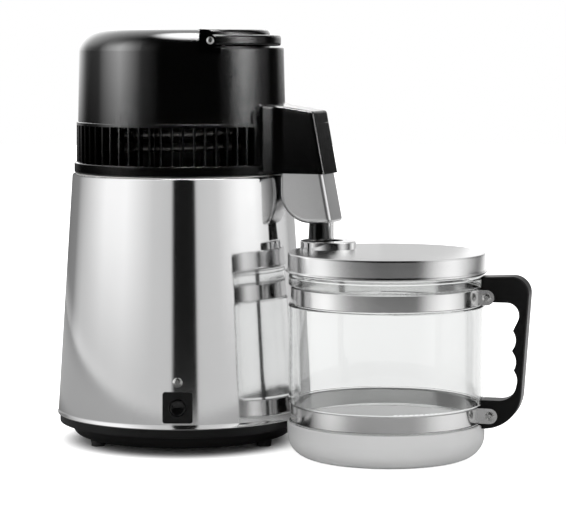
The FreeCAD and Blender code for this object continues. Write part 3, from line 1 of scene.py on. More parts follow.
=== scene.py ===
import bpy
import math
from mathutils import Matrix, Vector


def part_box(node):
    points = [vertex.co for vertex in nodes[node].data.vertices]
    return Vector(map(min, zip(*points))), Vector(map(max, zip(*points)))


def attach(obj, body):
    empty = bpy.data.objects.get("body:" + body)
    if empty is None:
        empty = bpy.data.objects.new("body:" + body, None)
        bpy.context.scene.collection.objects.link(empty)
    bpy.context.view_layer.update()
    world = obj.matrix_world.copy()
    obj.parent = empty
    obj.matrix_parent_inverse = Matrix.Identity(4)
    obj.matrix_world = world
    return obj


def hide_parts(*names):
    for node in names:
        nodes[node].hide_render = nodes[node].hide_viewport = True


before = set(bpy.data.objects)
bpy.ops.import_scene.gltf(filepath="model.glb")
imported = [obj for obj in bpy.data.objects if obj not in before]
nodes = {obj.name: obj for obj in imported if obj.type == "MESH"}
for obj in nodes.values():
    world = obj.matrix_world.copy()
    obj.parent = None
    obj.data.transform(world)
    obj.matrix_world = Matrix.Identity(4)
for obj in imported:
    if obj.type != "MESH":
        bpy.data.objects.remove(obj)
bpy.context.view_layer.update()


# ------------------------------------------------------------ boiler shell
# The shell is one stainless sheet rolled into a tapered sleeve and welded up its back. It is
# polished until it mirrors what stands round it, and keeps a faint upright grain from the belt.
class Signal:
    """A number that varies over a surface. Arithmetic on it adds Math nodes to its finish."""

    def __init__(self, finish, socket):
        self.finish, self.socket = finish, socket

    def maths(self, operation, *terms):
        made = self.finish.node("Math", {"operation": operation}, dict(enumerate(terms)))
        return Signal(self.finish, made.outputs[0])

    def __add__(self, other):
        return self.maths("ADD", self, other)

    def __sub__(self, other):
        return self.maths("SUBTRACT", self, other)

    def __rsub__(self, other):
        return self.maths("SUBTRACT", other, self)

    def __mul__(self, other):
        return self.maths("MULTIPLY", self, other)

    def __truediv__(self, other):
        return self.maths("DIVIDE", self, other)

    def __pow__(self, other):
        return self.maths("POWER", self, other)

    __radd__ = __add__
    __rmul__ = __mul__

    def slant(self, other):
        """The long side over two numbers, such as the distance from an upright axis."""
        return (self * self + other * other) ** 0.5

    def rising(self, low, high):
        """0 below low, 1 above high and smooth between."""
        values = {"Value": self, "From Min": low, "From Max": high}
        made = self.finish.node("MapRange", {"interpolation_type": "SMOOTHSTEP"}, values)
        return Signal(self.finish, made.outputs[0])


class Finish:
    """A material with one Principled shader. node() adds any other node to it."""

    def __init__(self, name, **constants):
        self.material = bpy.data.materials.new(name)
        self.material.use_nodes = True
        self.tree = self.material.node_tree
        self.shader = self.tree.nodes["Principled BSDF"]
        for socket, value in constants.items():
            self.feed(socket.replace("_", " "), value)

    def feed(self, socket, value):
        """Sets a socket of the shader, or links a signal to it."""
        self.join(self.shader.inputs[socket], value)

    def join(self, socket, value):
        if isinstance(value, Signal):
            self.tree.links.new(value.socket, socket)
        elif socket.type == "RGBA" and len(value) == 3:
            socket.default_value = (*value, 1.0)
        else:
            socket.default_value = value

    def node(self, kind, settings, values):
        """A node with its settings, and then the values or links of its sockets. A ramp's
        stops are (position, level), and its own two ends take the first and the last."""
        made = self.tree.nodes.new("ShaderNode" + kind)
        for setting, value in settings.items():
            if setting == "stops":
                marks = made.color_ramp.elements
                for position, _ in value[1:-1]:
                    marks.new(position)
                for mark, (_, level) in zip(marks, value):
                    mark.color = (level, level, level, 1.0)
            else:
                setattr(made, setting, value)
        for socket, value in values.items():
            self.join(made.inputs[socket], value)
        return made

    def show(self, made):
        """Puts a shader node on the surface in place of the Principled shader."""
        surface = self.tree.nodes["Material Output"].inputs["Surface"]
        self.join(surface, Signal(self, made.outputs[0]))

    def place(self, centre=(0.0, 0.0, 0.0), stretch=(1.0, 1.0, 1.0)):
        """The point on the piece, from a centre in metres and stretched along X, Y and Z."""
        point = self.node("TexCoord", {}, {})
        moved = [-c * s for c, s in zip(centre, stretch)]
        made = self.node("Mapping", {}, {"Location": moved, "Scale": stretch})
        self.tree.links.new(point.outputs["Object"], made.inputs["Vector"])
        return Signal(self, made.outputs["Vector"])

    def parts(self, vector):
        made = self.node("SeparateXYZ", {}, {"Vector": vector})
        return [Signal(self, made.outputs[axis]) for axis in range(3)]

    def noise(self, vector, scale, detail=2.0):
        values = {"Vector": vector, "Scale": scale, "Detail": detail}
        return Signal(self, self.node("TexNoise", {}, values).outputs["Fac"])

    def rings(self, radius, scale, detail=2.0):
        """Noise that varies with one number alone, such as the distance from an axis."""
        values = {"W": radius, "Scale": scale, "Detail": detail}
        made = self.node("TexNoise", {"noise_dimensions": "1D"}, values)
        return Signal(self, made.outputs["Fac"])

    def mix(self, share, first, second):
        """A colour between two colours."""
        made = self.node("Mix", {"data_type": "RGBA"}, {0: share, 6: first, 7: second})
        return Signal(self, made.outputs[2])

    def relief(self, height, depth, strength=1.0):
        """Presses a height between 0 and 1 into the surface, depth metres deep."""
        values = {"Height": height, "Distance": depth, "Strength": strength}
        made = self.node("Bump", {}, values)
        self.feed("Normal", Signal(self, made.outputs["Normal"]))

    def dress(self, *names):
        """Gives this finish to CAD nodes."""
        for name in names:
            for held in nodes[name].material_slots:
                held.material = self.material


shell_steel = Finish("polished_shell_steel", Metallic=1.0)
grain = shell_steel.noise(shell_steel.place(stretch=(1.0, 1.0, 0.02)), scale=2200.0, detail=3.0)
haze = shell_steel.noise(shell_steel.place(), scale=14.0, detail=4.0)
shell_steel.feed("Base Color", shell_steel.mix(haze, (0.74, 0.74, 0.745), (0.80, 0.80, 0.80)))
shell_steel.feed("Roughness", 0.06 + 0.03 * grain + 0.02 * haze)
shell_steel.relief(grain, depth=0.000004)

SHEET = 0.0008
SHELL_BOTTOM, SHELL_TOP = 0.0265, 0.2487
SHELL_FOOT, SHELL_NECK = 0.1164, 0.1014
SLOPE = (SHELL_FOOT - SHELL_NECK) / (SHELL_TOP - SHELL_BOTTOM)
FOOT_ROLL = 0.00045
FOOT_HEM = ((-0.0002, 0.0), (0.0, 0.0003), (0.0, 0.0010), (-0.0002, 0.0014))  # out and up
HEM_TOP = 0.0019
TOP_EDGE = 0.002
EDGE_TURNS = (4, 20, 40, 60, 75, 90)
TOP_FLANGE = 0.007
SLEEVE_STEPS = 288
LOW_ROW, LOW_STEP, LOW_ROWS = 0.031, 0.003, 20
HIGH_ROW, HIGH_STEP, HIGH_ROWS = 0.091, 0.0195, 7
SWITCH_HOLE = (-1.0, 0.0466, 0.0234, 0.0244)  # side, height above the floor, width, length
INLET_HOLE = (1.0, 0.0520, 0.0273, 0.0199)
SCREW_HOLE_HEIGHT, SCREW_HOLE, SCREW_HOLE_STEPS = 0.0688, 0.0021, 32
PUNCH_DEPTH = 0.012
SHARP_EDGE = math.radians(35)


def wall_at(height):
    """Outer radius of the tapered sleeve at a height."""
    return SHELL_FOOT - (height - SHELL_BOTTOM) * SLOPE


def grow_rings(name, vertices, profile):
    """A skin turned round Z: one ring, extruded from point to point of (radius, height)."""
    bpy.ops.object.select_all(action="DESELECT")
    bpy.ops.mesh.primitive_circle_add(vertices=vertices, radius=profile[0][0],
                                      location=(0.0, 0.0, profile[0][1]))
    skin = bpy.context.object
    skin.name = name
    bpy.ops.object.mode_set(mode="EDIT")
    bpy.ops.mesh.select_all(action="SELECT")
    for (radius, height), (wider, higher) in zip(profile, profile[1:]):
        up = {"value": (0.0, 0.0, higher - height)}
        bpy.ops.mesh.extrude_edges_move(TRANSFORM_OT_translate=up)
        bpy.ops.transform.resize(value=(wider / radius, wider / radius, 1.0))
    bpy.ops.mesh.select_all(action="SELECT")
    bpy.ops.mesh.normals_make_consistent(inside=False)
    bpy.ops.object.mode_set(mode="OBJECT")
    bpy.ops.object.transform_apply(location=True, rotation=True, scale=True)
    return skin


def pick(piece):
    """Selects one piece alone, because an operator acts on all that is selected."""
    bpy.ops.object.select_all(action="DESELECT")
    piece.select_set(True)
    bpy.context.view_layer.objects.active = piece


def apply_modifier(piece, kind, **settings):
    pick(piece)
    made = piece.modifiers.new(kind.lower(), kind)
    for setting, value in settings.items():
        setattr(made, setting, value)
    bpy.ops.object.modifier_apply(modifier=made.name)


def punch(piece, cutter):
    apply_modifier(piece, "BOOLEAN", operation="DIFFERENCE", solver="EXACT", object=cutter)
    bpy.data.objects.remove(cutter)


foot_hem = [(SHELL_FOOT + FOOT_ROLL + out, SHELL_BOTTOM + rise) for out, rise in FOOT_HEM]
rows = ([SHELL_BOTTOM + HEM_TOP] + [LOW_ROW + LOW_STEP * row for row in range(LOW_ROWS)]
        + [HIGH_ROW + HIGH_STEP * row for row in range(1, HIGH_ROWS + 1)])
edge_radius = wall_at(SHELL_TOP - TOP_EDGE) - TOP_EDGE
edge_height = SHELL_TOP - TOP_EDGE
turned_in = [(edge_radius + TOP_EDGE * math.cos(math.radians(turn)),
              edge_height + TOP_EDGE * math.sin(math.radians(turn))) for turn in EDGE_TURNS]
sleeve = grow_rings("shell_sleeve", SLEEVE_STEPS, foot_hem + [(wall_at(z), z) for z in rows]
                    + turned_in + [(SHELL_NECK - TOP_FLANGE, SHELL_TOP)])
apply_modifier(sleeve, "SOLIDIFY", thickness=SHEET, offset=-1.0, use_even_offset=True)
for side, height, wide, tall in (SWITCH_HOLE, INLET_HOLE):
    bpy.ops.mesh.primitive_cube_add(size=1.0, location=(0.0, side * wall_at(height), height),
                                    scale=(wide, PUNCH_DEPTH, tall))
    punch(sleeve, bpy.context.object)
bpy.ops.mesh.primitive_cylinder_add(
    vertices=SCREW_HOLE_STEPS, radius=SCREW_HOLE, depth=PUNCH_DEPTH,
    location=(0.0, -wall_at(SCREW_HOLE_HEIGHT), SCREW_HOLE_HEIGHT),
    rotation=(math.pi / 2, 0.0, 0.0))
punch(sleeve, bpy.context.object)
pick(sleeve)
bpy.ops.object.shade_smooth_by_angle(angle=SHARP_EDGE)
sleeve.data.materials.append(shell_steel.material)
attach(sleeve, "boiler")
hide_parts("outer_shell")


# ------------------------------------------------------------ base and feet
# The base pan is a moulded black dish that carries the shell on its lip. It is satin PP with a
# fine spark-eroded grain, and stands on three rubber feet held by screws from below.
base_plastic = Finish("satin_base_plastic")
spark = base_plastic.noise(base_plastic.place(), scale=1600.0, detail=3.0)
scuff = base_plastic.noise(base_plastic.place(), scale=30.0, detail=5.0)
base_plastic.feed("Base Color",
                  base_plastic.mix(scuff, (0.002, 0.002, 0.0022), (0.005, 0.005, 0.005)))
base_plastic.feed("Roughness", 0.26 + 0.10 * scuff + 0.06 * spark)
base_plastic.relief(spark, depth=0.00003, strength=0.5)
base_plastic.dress("base_pan")

foot_rubber = Finish("foot_rubber")
dust = foot_rubber.noise(foot_rubber.place(), scale=400.0, detail=4.0)
foot_rubber.feed("Base Color",
                 foot_rubber.mix(dust, (0.012, 0.012, 0.012), (0.03, 0.03, 0.029)))
foot_rubber.feed("Roughness", 0.6 + 0.25 * dust)
foot_rubber.relief(dust, depth=0.00006, strength=0.6)
foot_rubber.dress("rubber_feet")

plated_screw = Finish("plated_screw", Metallic=1.0)
plating = plated_screw.noise(plated_screw.place(), scale=900.0, detail=3.0)
plated_screw.feed("Base Color",
                  plated_screw.mix(plating, (0.62, 0.62, 0.61), (0.82, 0.82, 0.81)))
plated_screw.feed("Roughness", 0.16 + 0.16 * plating)
plated_screw.relief(plating, depth=0.00002, strength=0.5)
plated_screw.dress("foot_screws", "earth_screw", "earth_nut")


# ------------------------------------------------------------ boiling pot and heater
# The pot is deep drawn stainless with a rolled rim that hangs on the shell. A cast aluminium
# plate with its ring element presses against the underside, with two thermostats beside it.
pot_steel = Finish("drawn_pot_steel", Metallic=1.0)
across, along, up = pot_steel.parts(pot_steel.place())
drawn = pot_steel.rings(across.slant(along) + up, scale=2600.0, detail=3.0)
water_mark = pot_steel.noise(pot_steel.place(stretch=(1.0, 1.0, 4.0)), scale=18.0, detail=5.0)
pot_steel.feed("Base Color", pot_steel.mix(water_mark, (0.56, 0.55, 0.53), (0.68, 0.68, 0.67)))
pot_steel.feed("Roughness", 0.22 + 0.12 * drawn + 0.08 * water_mark)
pot_steel.relief(drawn, depth=0.00001)
pot_steel.dress("boiling_pot", "heating_element")

cast_aluminium = Finish("cast_aluminium", Metallic=1.0)
sand = cast_aluminium.noise(cast_aluminium.place(), scale=1100.0, detail=5.0)
cast_aluminium.feed("Base Color",
                    cast_aluminium.mix(sand, (0.58, 0.58, 0.59), (0.78, 0.78, 0.79)))
cast_aluminium.feed("Roughness", 0.34 + 0.2 * sand)
cast_aluminium.relief(sand, depth=0.00005, strength=0.6)
cast_aluminium.dress("heater_plate", "thermostats")


# ------------------------------------------------------------ start switch
# A square black bezel clips into the shell and guides the start button. The bezel is satin
# like the base, and the button is the same gloss ABS as the cap.
base_plastic.dress("switch_bezel")
cap_gloss = Finish("gloss_cap_plastic")
peel = cap_gloss.noise(cap_gloss.place(), scale=260.0, detail=2.0)
wipe = cap_gloss.noise(cap_gloss.place(), scale=24.0, detail=5.0)
cap_gloss.feed("Base Color",
               cap_gloss.mix(wipe, (0.0006, 0.0006, 0.0006), (0.0012, 0.0012, 0.0012)))
cap_gloss.feed("Roughness", 0.10 + 0.05 * wipe)
cap_gloss.relief(peel, depth=0.000004, strength=0.6)
cap_gloss.dress("start_button")


# ------------------------------------------------------------ appliance inlets
# Each inlet is a black flanged moulding clipped into the wall, with three flat pins standing
# in its well. The lead that plugs in is a loose accessory and isn't part of the object.
base_plastic.dress("mains_inlet", "fan_inlet")
pin_brass = Finish("pin_brass", Metallic=1.0)
tarnish = pin_brass.noise(pin_brass.place(), scale=500.0, detail=4.0)
pin_brass.feed("Base Color", pin_brass.mix(tarnish, (0.66, 0.52, 0.26), (0.80, 0.66, 0.36)))
pin_brass.feed("Roughness", 0.2 + 0.2 * tarnish)
pin_brass.dress("mains_pins", "fan_pins")


# ------------------------------------------------------------ head: gasket, vent ring and cap
# The head's steel plate lies on the pot on a pale silicone ring. Its vent ring and its cap are
# two mouldings of the same gloss black ABS, with a fine seam that also runs across the spout.
silicone = Finish("silicone_ring", Subsurface_Weight=0.2)
cloud = silicone.noise(silicone.place(), scale=200.0, detail=3.0)
silicone.feed("Base Color", silicone.mix(cloud, (0.70, 0.70, 0.68), (0.82, 0.82, 0.80)))
silicone.feed("Roughness", 0.42 + 0.15 * cloud)
silicone.dress("steam_gasket")
pot_steel.dress("head_plate")
cap_gloss.dress("lower_housing", "upper_cover")


# ------------------------------------------------------------ condenser and fan
# Steam runs down a stainless coil with aluminium fins pressed on it. Above it a motor hangs
# from a steel bracket, and its bladed fan sends air out past the fins round a moulded drum.
coil_steel = Finish("coil_steel", Metallic=1.0)
coil_shade_mottle = coil_steel.noise(coil_steel.place(), scale=60.0, detail=3.0)
# Painted shade: the stainless coil is coloured dark grey for the dark inside of the head. The
# mottle between its two dark tones is random.
coil_steel.feed("Base Color", coil_steel.mix(coil_shade_mottle, (0.14, 0.135, 0.13), (0.26, 0.255, 0.25)))
coil_steel.feed("Roughness", 0.22 + 0.12 * coil_shade_mottle)
coil_steel.dress("condenser_coil")

fin_sheet = Finish("fin_sheet_painted_shade", Metallic=1.0)
fin_shade_mottle = fin_sheet.noise(fin_sheet.place(), scale=700.0, detail=4.0)
# Painted shade: the aluminium fins are coloured nearly black for the dark inside of the head.
# The mottle between the two tones is random.
fin_sheet.feed("Base Color", fin_sheet.mix(fin_shade_mottle, (0.08, 0.08, 0.08), (0.16, 0.16, 0.16)))
fin_sheet.feed("Roughness", 0.4 + 0.2 * fin_shade_mottle)
fin_sheet.dress("condenser_fins")
pot_steel.dress("motor_bracket")
plated_screw.dress("bracket_screws")
cast_aluminium.dress("fan_motor")
base_plastic.dress("fan_rotor", "air_guide")


# ------------------------------------------------------------ carrying bail
# A bow of the same gloss black as the cap pivots on two screws in the cap's pockets, and folds
# down on its ledge.
cap_gloss.dress("bail_handle")
plated_screw.dress("bail_screws")


# ------------------------------------------------------------ filter cup and nozzle
# The silver cup hangs under the spout and holds a carbon sachet. The black nozzle under it
# leads the drips into the carafe, with a thin clear vent tube beside it.
cup_metal = Finish("silver_cup", Metallic=1.0)
satin = cup_metal.noise(cup_metal.place(), scale=1400.0, detail=3.0)
cup_metal.feed("Base Color", cup_metal.mix(satin, (0.60, 0.60, 0.60), (0.70, 0.70, 0.70)))
cup_metal.feed("Roughness", 0.26 + 0.08 * satin)
cup_metal.relief(satin, depth=0.000006)
cup_metal.dress("filter_cup")

sachet_cloth = Finish("sachet_cloth")
woven = sachet_cloth.place(stretch=(1.0, 1.0, 3.0))
fibres = sachet_cloth.noise(woven, scale=900.0, detail=6.0)
beads = sachet_cloth.noise(sachet_cloth.place(), scale=350.0, detail=1.0).rising(0.45, 0.6)
sachet_cloth.feed("Base Color",
                  sachet_cloth.mix(beads, (0.74, 0.73, 0.70), (0.28, 0.28, 0.28)))
sachet_cloth.feed("Roughness", 0.75 + 0.2 * fibres)
sachet_cloth.relief(fibres, depth=0.0002)
sachet_cloth.dress("carbon_sachet")

cap_gloss.dress("nozzle")
clear_tube = Finish("clear_tube", Transmission_Weight=1.0, IOR=1.43)
ripple = clear_tube.noise(clear_tube.place(), scale=300.0, detail=2.0)
clear_tube.feed("Roughness", 0.03 + 0.05 * ripple)
clear_tube.dress("drip_tube")


# ------------------------------------------------------------ glass carafe
# The carafe is blown borosilicate with two grooves for its bands. Below the lower band, on the
# outside of its wall, its corner and the rim of its underside, the clear glass gets a slight
# haze and a painted milky white: painted light for the bright floor seen through the glass.
PAINTED_FOOT_TOP, PAINTED_FOOT_SOFT = 0.034, 0.003
PAINTED_FOOT_FROM = 0.058
PAINTED_FOOT_SKIN = (0.0018, 0.0012)
PAINTED_MILK_SHARE = 0.85
CORNER = 0.020
low_jug, high_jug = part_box("glass_jug")
jug_axis = ((low_jug.x + high_jug.x) / 2, (low_jug.y + high_jug.y) / 2, 0.0)
CORNER_AT = (high_jug.x - low_jug.x) / 2 - CORNER
carafe_glass = Finish("carafe_glass", Transmission_Weight=1.0, IOR=1.47)
carafe_glass.feed("Base Color", (0.97, 0.975, 0.972))
across, along, up = carafe_glass.parts(carafe_glass.place(centre=jug_axis))
reach = across.slant(along)
beyond = reach.maths("MAXIMUM", reach - CORNER_AT, 0.0)
under = up.maths("MINIMUM", up - CORNER, 0.0)
outside = beyond.slant(under).rising(*(CORNER - depth for depth in PAINTED_FOOT_SKIN))
low = 1.0 - up.rising(PAINTED_FOOT_TOP - PAINTED_FOOT_SOFT, PAINTED_FOOT_TOP)
haze_and_painted_milk = low * outside * reach.rising(PAINTED_FOOT_FROM, CORNER_AT)
carafe_glass.feed("Roughness", 0.10 * haze_and_painted_milk)
# Painted light: a milky white layer mixed in on the foot stands in for the bright floor seen
# through the clear glass.
painted_milk_settings = {"Base Color": (0.95, 0.95, 0.95), "Roughness": 0.6, "IOR": 1.3,
          "Transmission Weight": 0.4}
painted_milk = Signal(carafe_glass, carafe_glass.node("BsdfPrincipled", {}, painted_milk_settings).outputs[0])
clear = Signal(carafe_glass, carafe_glass.shader.outputs[0])
carafe_glass.show(carafe_glass.node("MixShader", {}, {0: PAINTED_MILK_SHARE * haze_and_painted_milk,
                                                      1: clear, 2: painted_milk}))
blown = carafe_glass.noise(carafe_glass.place(), scale=24.0, detail=2.0)
carafe_glass.relief(blown, depth=0.0004, strength=0.4)
carafe_glass.dress("glass_jug")


# ------------------------------------------------------------ bands and handle
# Two stainless straps clamp the carafe in its grooves. Their ears reach round the ends of a
# satin black handle, and a screw and nut through each pair draws the strap tight.
band_steel = Finish("rolled_band_steel", Metallic=1.0)
across, along, up = band_steel.parts(band_steel.place())
rolled = band_steel.rings(up, scale=3800.0, detail=3.0)
smear = band_steel.noise(band_steel.place(), scale=40.0, detail=4.0)
band_steel.feed("Base Color", band_steel.mix(smear, (0.68, 0.68, 0.68), (0.76, 0.76, 0.755)))
band_steel.feed("Roughness", 0.12 + 0.04 * rolled + 0.04 * smear)
band_steel.relief(rolled, depth=0.000001)
band_steel.dress("upper_band", "lower_band")
plated_screw.dress("clamp_screws", "clamp_nuts")

handle_plastic = Finish("satin_handle_plastic", Specular_IOR_Level=0.25)
pebble = handle_plastic.noise(handle_plastic.place(), scale=1500.0, detail=3.0)
thumbed = handle_plastic.noise(handle_plastic.place(), scale=45.0, detail=4.0)
handle_plastic.feed("Base Color",
                    handle_plastic.mix(thumbed, (0.001, 0.001, 0.001), (0.003, 0.003, 0.003)))
handle_plastic.feed("Roughness", 0.3 + 0.08 * thumbed + 0.06 * pebble)
handle_plastic.relief(pebble, depth=0.00004, strength=0.5)
handle_plastic.dress("jug_handle")


# ------------------------------------------------------------ lid and collar
# The lid is pressed stainless with a beaded hem, brushed in circles on top. Pale and dark
# wedges round its centre are a painted sheen in its colour, for the highlights of the circular
# brushing. A turned collar guides the nozzle over the inlet hole.
lid_steel = Finish("circular_brushed_lid", Metallic=1.0)
across, along, up = lid_steel.parts(lid_steel.place(centre=jug_axis))
brushed = lid_steel.rings(across.slant(along) + up, scale=5200.0, detail=2.0)
bearing = across.maths("ARCTAN2", across, -1.0 * along)
painted_sheen_wedges = lid_steel.rings(bearing, scale=2.2, detail=3.0)
# Painted sheen: the colour turns pale and dark in wedges round the centre. The same wedges also
# vary the roughness.
lid_steel.feed("Base Color", lid_steel.mix(painted_sheen_wedges, (0.70, 0.70, 0.70), (0.82, 0.82, 0.82)))
lid_steel.feed("Roughness", 0.14 + 0.08 * brushed + 0.08 * painted_sheen_wedges)
lid_steel.relief(brushed, depth=0.00001)
lid_steel.dress("lid")

collar_steel = Finish("turned_collar_steel", Metallic=1.0)
across, along, up = collar_steel.parts(collar_steel.place())
turned = collar_steel.rings(up, scale=5000.0, detail=2.0)
collar_steel.feed("Base Color", (0.80, 0.80, 0.80))
collar_steel.feed("Roughness", 0.04 + 0.04 * turned)
collar_steel.dress("inlet_collar")


# ------------------------------------------------------------ studio
# Each group of pieces stands in a dome of soft light of its own, like the softboxes and dark
# flags that are set for one surface. A dome shows only in the reflections of its own pieces.
FULL = 8.0
DOME_STEPS, DOME_RINGS = 96, 48
GROUND = (-0.2, 0.0)
OVERHEAD = (8.0, 9.0)
MIDDLE = (0.0, 0.0, 0.0)
COLLAR_LEVEL, CUP_LEVEL = 0.19, 0.21


def stand_dome(name, centre, radius, stops, pieces, foot=GROUND, head=OVERHEAD, steady=0.0,
               pools=()):
    """A dome whose level follows the compass bearing, 0 towards the front, from stops of
    (bearing, level). foot and head are the heights where the light comes up and dies away;
    what is under the steady level doesn't change with height. A pool of light overhead is a
    bearing, a tilt from straight up, a spread and a level."""
    bpy.ops.object.select_all(action="DESELECT")
    bpy.ops.mesh.primitive_uv_sphere_add(segments=DOME_STEPS, ring_count=DOME_RINGS,
                                         radius=radius, location=centre)
    dome = bpy.context.object
    dome.name = name
    bpy.ops.object.shade_smooth()
    bpy.ops.object.transform_apply(location=True)
    for ray in ("camera", "diffuse", "transmission", "volume_scatter", "shadow"):
        setattr(dome, "visible_" + ray, False)

    glow = Finish(name)
    glow.material.cycles.emission_sampling = "NONE"
    spot = glow.place(centre=(centre[0], centre[1], 0.0))
    across, along, up = glow.parts(spot)
    turn = across.maths("ARCTAN2", across, -1.0 * along) / (2 * math.pi) + 0.5
    marks = [(bearing / 360.0 + 0.5, level / FULL) for bearing, level in stops]
    level = Signal(glow, glow.node("ValToRGB", {"stops": marks}, {0: turn}).outputs[0]) * FULL
    even = level.maths("MINIMUM", level, steady)
    level = even + (level - even) * up.rising(*foot) * (1.0 - up.rising(*head))
    for bearing, tilt, spread, strength in pools:
        bearing, tilt, spread = (math.radians(angle) for angle in (bearing, tilt, spread))
        aim = (math.sin(bearing) * math.sin(tilt), -math.cos(bearing) * math.sin(tilt),
               math.cos(tilt))
        facing = glow.node("VectorMath", {"operation": "DOT_PRODUCT"}, {0: spot, 1: aim})
        facing = Signal(glow, facing.outputs["Value"]) / radius
        level = level + facing.rising(math.cos(spread), 1.0) * strength
    light = glow.node("Emission", {}, {"Color": (1.0, 1.0, 1.0), "Strength": level})
    clear = glow.node("BsdfTransparent", {}, {})
    glow.show(glow.node("AddShader", {}, {0: Signal(glow, light.outputs[0]),
                                          1: Signal(glow, clear.outputs[0])}))
    dome.data.materials.append(glow.material)

    lit_pieces = bpy.data.collections.new(name)
    for piece in pieces:
        lit_pieces.objects.link(nodes.get(piece) or bpy.data.objects[piece])
    dome.light_linking.receiver_collection = lit_pieces


stand_dome("sleeve_surround", MIDDLE, 1.4, [
    (-180, 0.15), (-129, 0.26), (-120, 0.5), (-80, 1.2), (-55, 1.22), (-26, 0.72), (-8, 0.65),
    (-6, 0.0), (14, 0.0), (16, 0.65), (37, 0.74), (61, 1.2), (78, 1.25), (92, 0.95),
    (124, 0.8), (134, 0.5), (180, 0.5)], ["shell_sleeve"], foot=(-0.05, 0.30), steady=0.65)
stand_dome("plastic_surround", MIDDLE, 1.5, [
    (-180, 1.3), (-140, 0.8), (-127, 0.1), (-100, 0.6), (-68, 9.0), (-42, 0.8), (-22, 0.0),
    (42, 0.0), (54, 0.5), (73, 7.5), (96, 0.9), (116, 0.0), (132, 0.04), (142, 0.7),
    (180, 1.3)], ["base_pan", "lower_housing", "upper_cover", "bail_handle", "mains_inlet",
                  "fan_inlet", "rubber_feet"],
    foot=(0.15, 0.50), head=(0.7, 1.4), pools=[(40, 8, 22, 24.0), (-150, 38, 48, 2.8)])
stand_dome("carafe_surround", jug_axis, 0.24, [
    (-180, 0.75), (-152, 0.75), (-146, 0.0), (-112, 0.03), (-104, 0.3), (-87, 0.66),
    (-80, 0.82), (-70, 0.98), (-62, 0.98), (-56, 0.8), (-48, 0.5), (-40, 0.25), (-32, 0.1),
    (-10, 0.0), (24, 0.0), (28, 0.1), (35, 0.46), (42, 0.75), (50, 0.96), (60, 1.05),
    (70, 0.9), (80, 0.62), (90, 0.36), (98, 0.15), (106, 0.15), (113, 0.48), (130, 1.15),
    (143, 1.3), (147, 0.7), (180, 0.7)], ["lid", "upper_band", "glass_jug", "jug_handle"])
stand_dome("low_band_surround", jug_axis, 0.23, [
    (-180, 0.0), (-94, 0.0), (-87, 0.15), (-80, 0.35), (-70, 0.6), (-60, 0.68), (-50, 0.5),
    (-40, 0.2), (-30, 0.05), (-20, 0.0), (24, 0.0), (35, 0.15), (45, 0.4), (55, 0.57),
    (70, 0.6), (84, 0.5), (98, 0.35), (110, 0.1), (120, 0.0), (180, 0.0)], ["lower_band"])
low_collar, high_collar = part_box("inlet_collar")
collar_at = ((low_collar.x + high_collar.x) / 2, (low_collar.y + high_collar.y) / 2,
             COLLAR_LEVEL)
stand_dome("collar_surround", collar_at, 0.22, [
    (-180, 0.05), (-150, 0.06), (-118, 0.01), (-100, 0.05), (-80, 0.95), (-64, 0.8),
    (-50, 0.22), (-37, 0.02), (10, 0.0), (26, 0.08), (39, 0.75), (53, 1.2), (67, 1.45),
    (83, 1.1), (101, 0.48), (123, 0.55), (162, 1.1), (180, 1.0)], ["inlet_collar"])
stand_dome("fittings_surround", MIDDLE, 1.3, [
    (-180, 0.9), (-90, 1.4), (-50, 0.9), (-25, 0.02), (35, 0.02), (60, 0.9), (90, 1.4),
    (180, 0.9)], ["foot_screws", "earth_screw", "bail_screws", "clamp_screws", "clamp_nuts",
                  "mains_pins", "fan_pins", "switch_bezel", "start_button", "nozzle"])
stand_dome("pot_surround", MIDDLE, 1.6, [
    (-180, 0.5), (-60, 1.0), (0, 0.4), (60, 1.0), (180, 0.5)], ["boiling_pot", "head_plate"])
low_cup, high_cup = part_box("filter_cup")
cup_at = ((low_cup.x + high_cup.x) / 2, (low_cup.y + high_cup.y) / 2, CUP_LEVEL)
stand_dome("cup_surround", cup_at, 0.20, [
    (-180, 0.5), (-100, 0.8), (-62, 0.75), (-42, 0.4), (-20, 0.08), (20, 0.05), (35, 0.6),
    (60, 1.6), (80, 1.2), (100, 0.2), (122, 0.15), (132, 0.4), (145, 0.6), (180, 0.6)],
    ["filter_cup"], foot=(-0.2, -0.1))


def ray_kinds(finish):
    """1 or 0 for a ray straight from the camera, one through glass and one off a mirror."""
    path = finish.node("LightPath", {}, {})
    seen, through, glossy = (Signal(finish, path.outputs["Is " + kind + " Ray"])
                             for kind in ("Camera", "Transmission", "Glossy"))
    return seen, through, glossy * (1.0 - through)


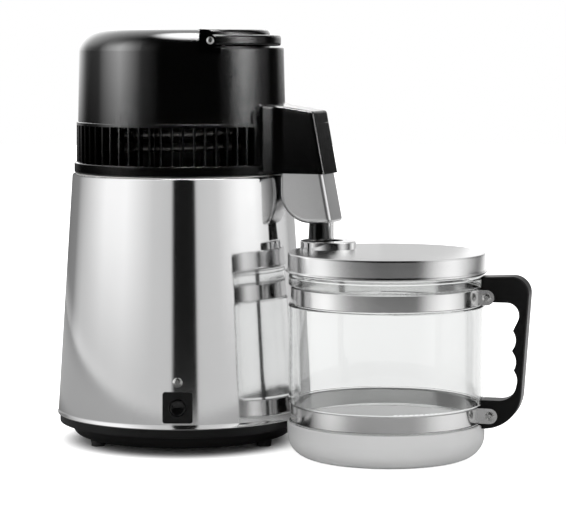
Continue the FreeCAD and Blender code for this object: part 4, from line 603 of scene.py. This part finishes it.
FLOOR_SIDE = 12.0
SHADOW_EDGE = (0.088, 0.125)
MIRROR_NEAR, MIRROR_FAR = (0.15, 0.45), (0.8, 2.3)
NEAR_LEVEL = 0.3
PAPER_GLOW, GLASS_GLOW = 0.8, 0.05
bpy.ops.object.select_all(action="DESELECT")
bpy.ops.mesh.primitive_plane_add(size=FLOOR_SIDE)
floor = bpy.context.object
floor.name = "floor_sweep"
paper = Finish("white_paper", Roughness=0.9, Specular_IOR_Level=0.0)
across, along, up = paper.parts(paper.place())
away = across.slant(along)
seen, through, mirrored = ray_kinds(paper)
# In reflections the floor's white gives way to a painted colour: nearly black next to the
# object as painted shade, up to 0.45 at middle distance, and dark again far off.
nearer = NEAR_LEVEL + (1.0 - NEAR_LEVEL) * away.rising(*MIRROR_NEAR)
in_mirrors = paper.mix(nearer * (1.0 - away.rising(*MIRROR_FAR)),
                       (0.01, 0.01, 0.01), (0.45, 0.45, 0.45))
paper.feed("Base Color", paper.mix(mirrored, (0.9, 0.9, 0.9), in_mirrors))
paper.feed("Emission Color", (1.0, 1.0, 1.0))
# For the camera the paper glows white away from the base. Inside SHADOW_EDGE the glow is held
# back, so the shadow under the base is real shade with a painted edge.
paper.feed("Emission Strength",
           PAPER_GLOW * away.rising(*SHADOW_EDGE) * seen + GLASS_GLOW * through)
floor.data.materials.append(paper.material)


class Sky(Finish):
    """The world's light, whose shader is its Background."""

    def __init__(self, name):
        self.material = bpy.data.worlds.new(name)
        self.material.use_nodes = True
        self.tree = self.material.node_tree
        self.shader = self.tree.nodes["Background"]


SKY_LEVEL, SKY_IN_MIRRORS = 1.0, 0.01
sky = Sky("studio")
seen, through, mirrored = ray_kinds(sky)
sky.feed("Color", (1.0, 1.0, 1.0))
sky.feed("Strength", SKY_LEVEL - (SKY_LEVEL - SKY_IN_MIRRORS) * mirrored)
bpy.context.scene.world = sky.material

CAMERA_AT = (0.0935, -2.137, 0.3719)
CAMERA_DOWN = 5.52
LENS = 146.6
camera = bpy.data.objects.new("camera", bpy.data.cameras.new("camera"))
bpy.context.scene.collection.objects.link(camera)
camera.location = CAMERA_AT
camera.rotation_euler = (math.radians(90 - CAMERA_DOWN), 0.0, 0.0)
camera.data.lens = LENS
bpy.context.scene.camera = camera
bpy.context.scene.view_settings.view_transform = "Standard"
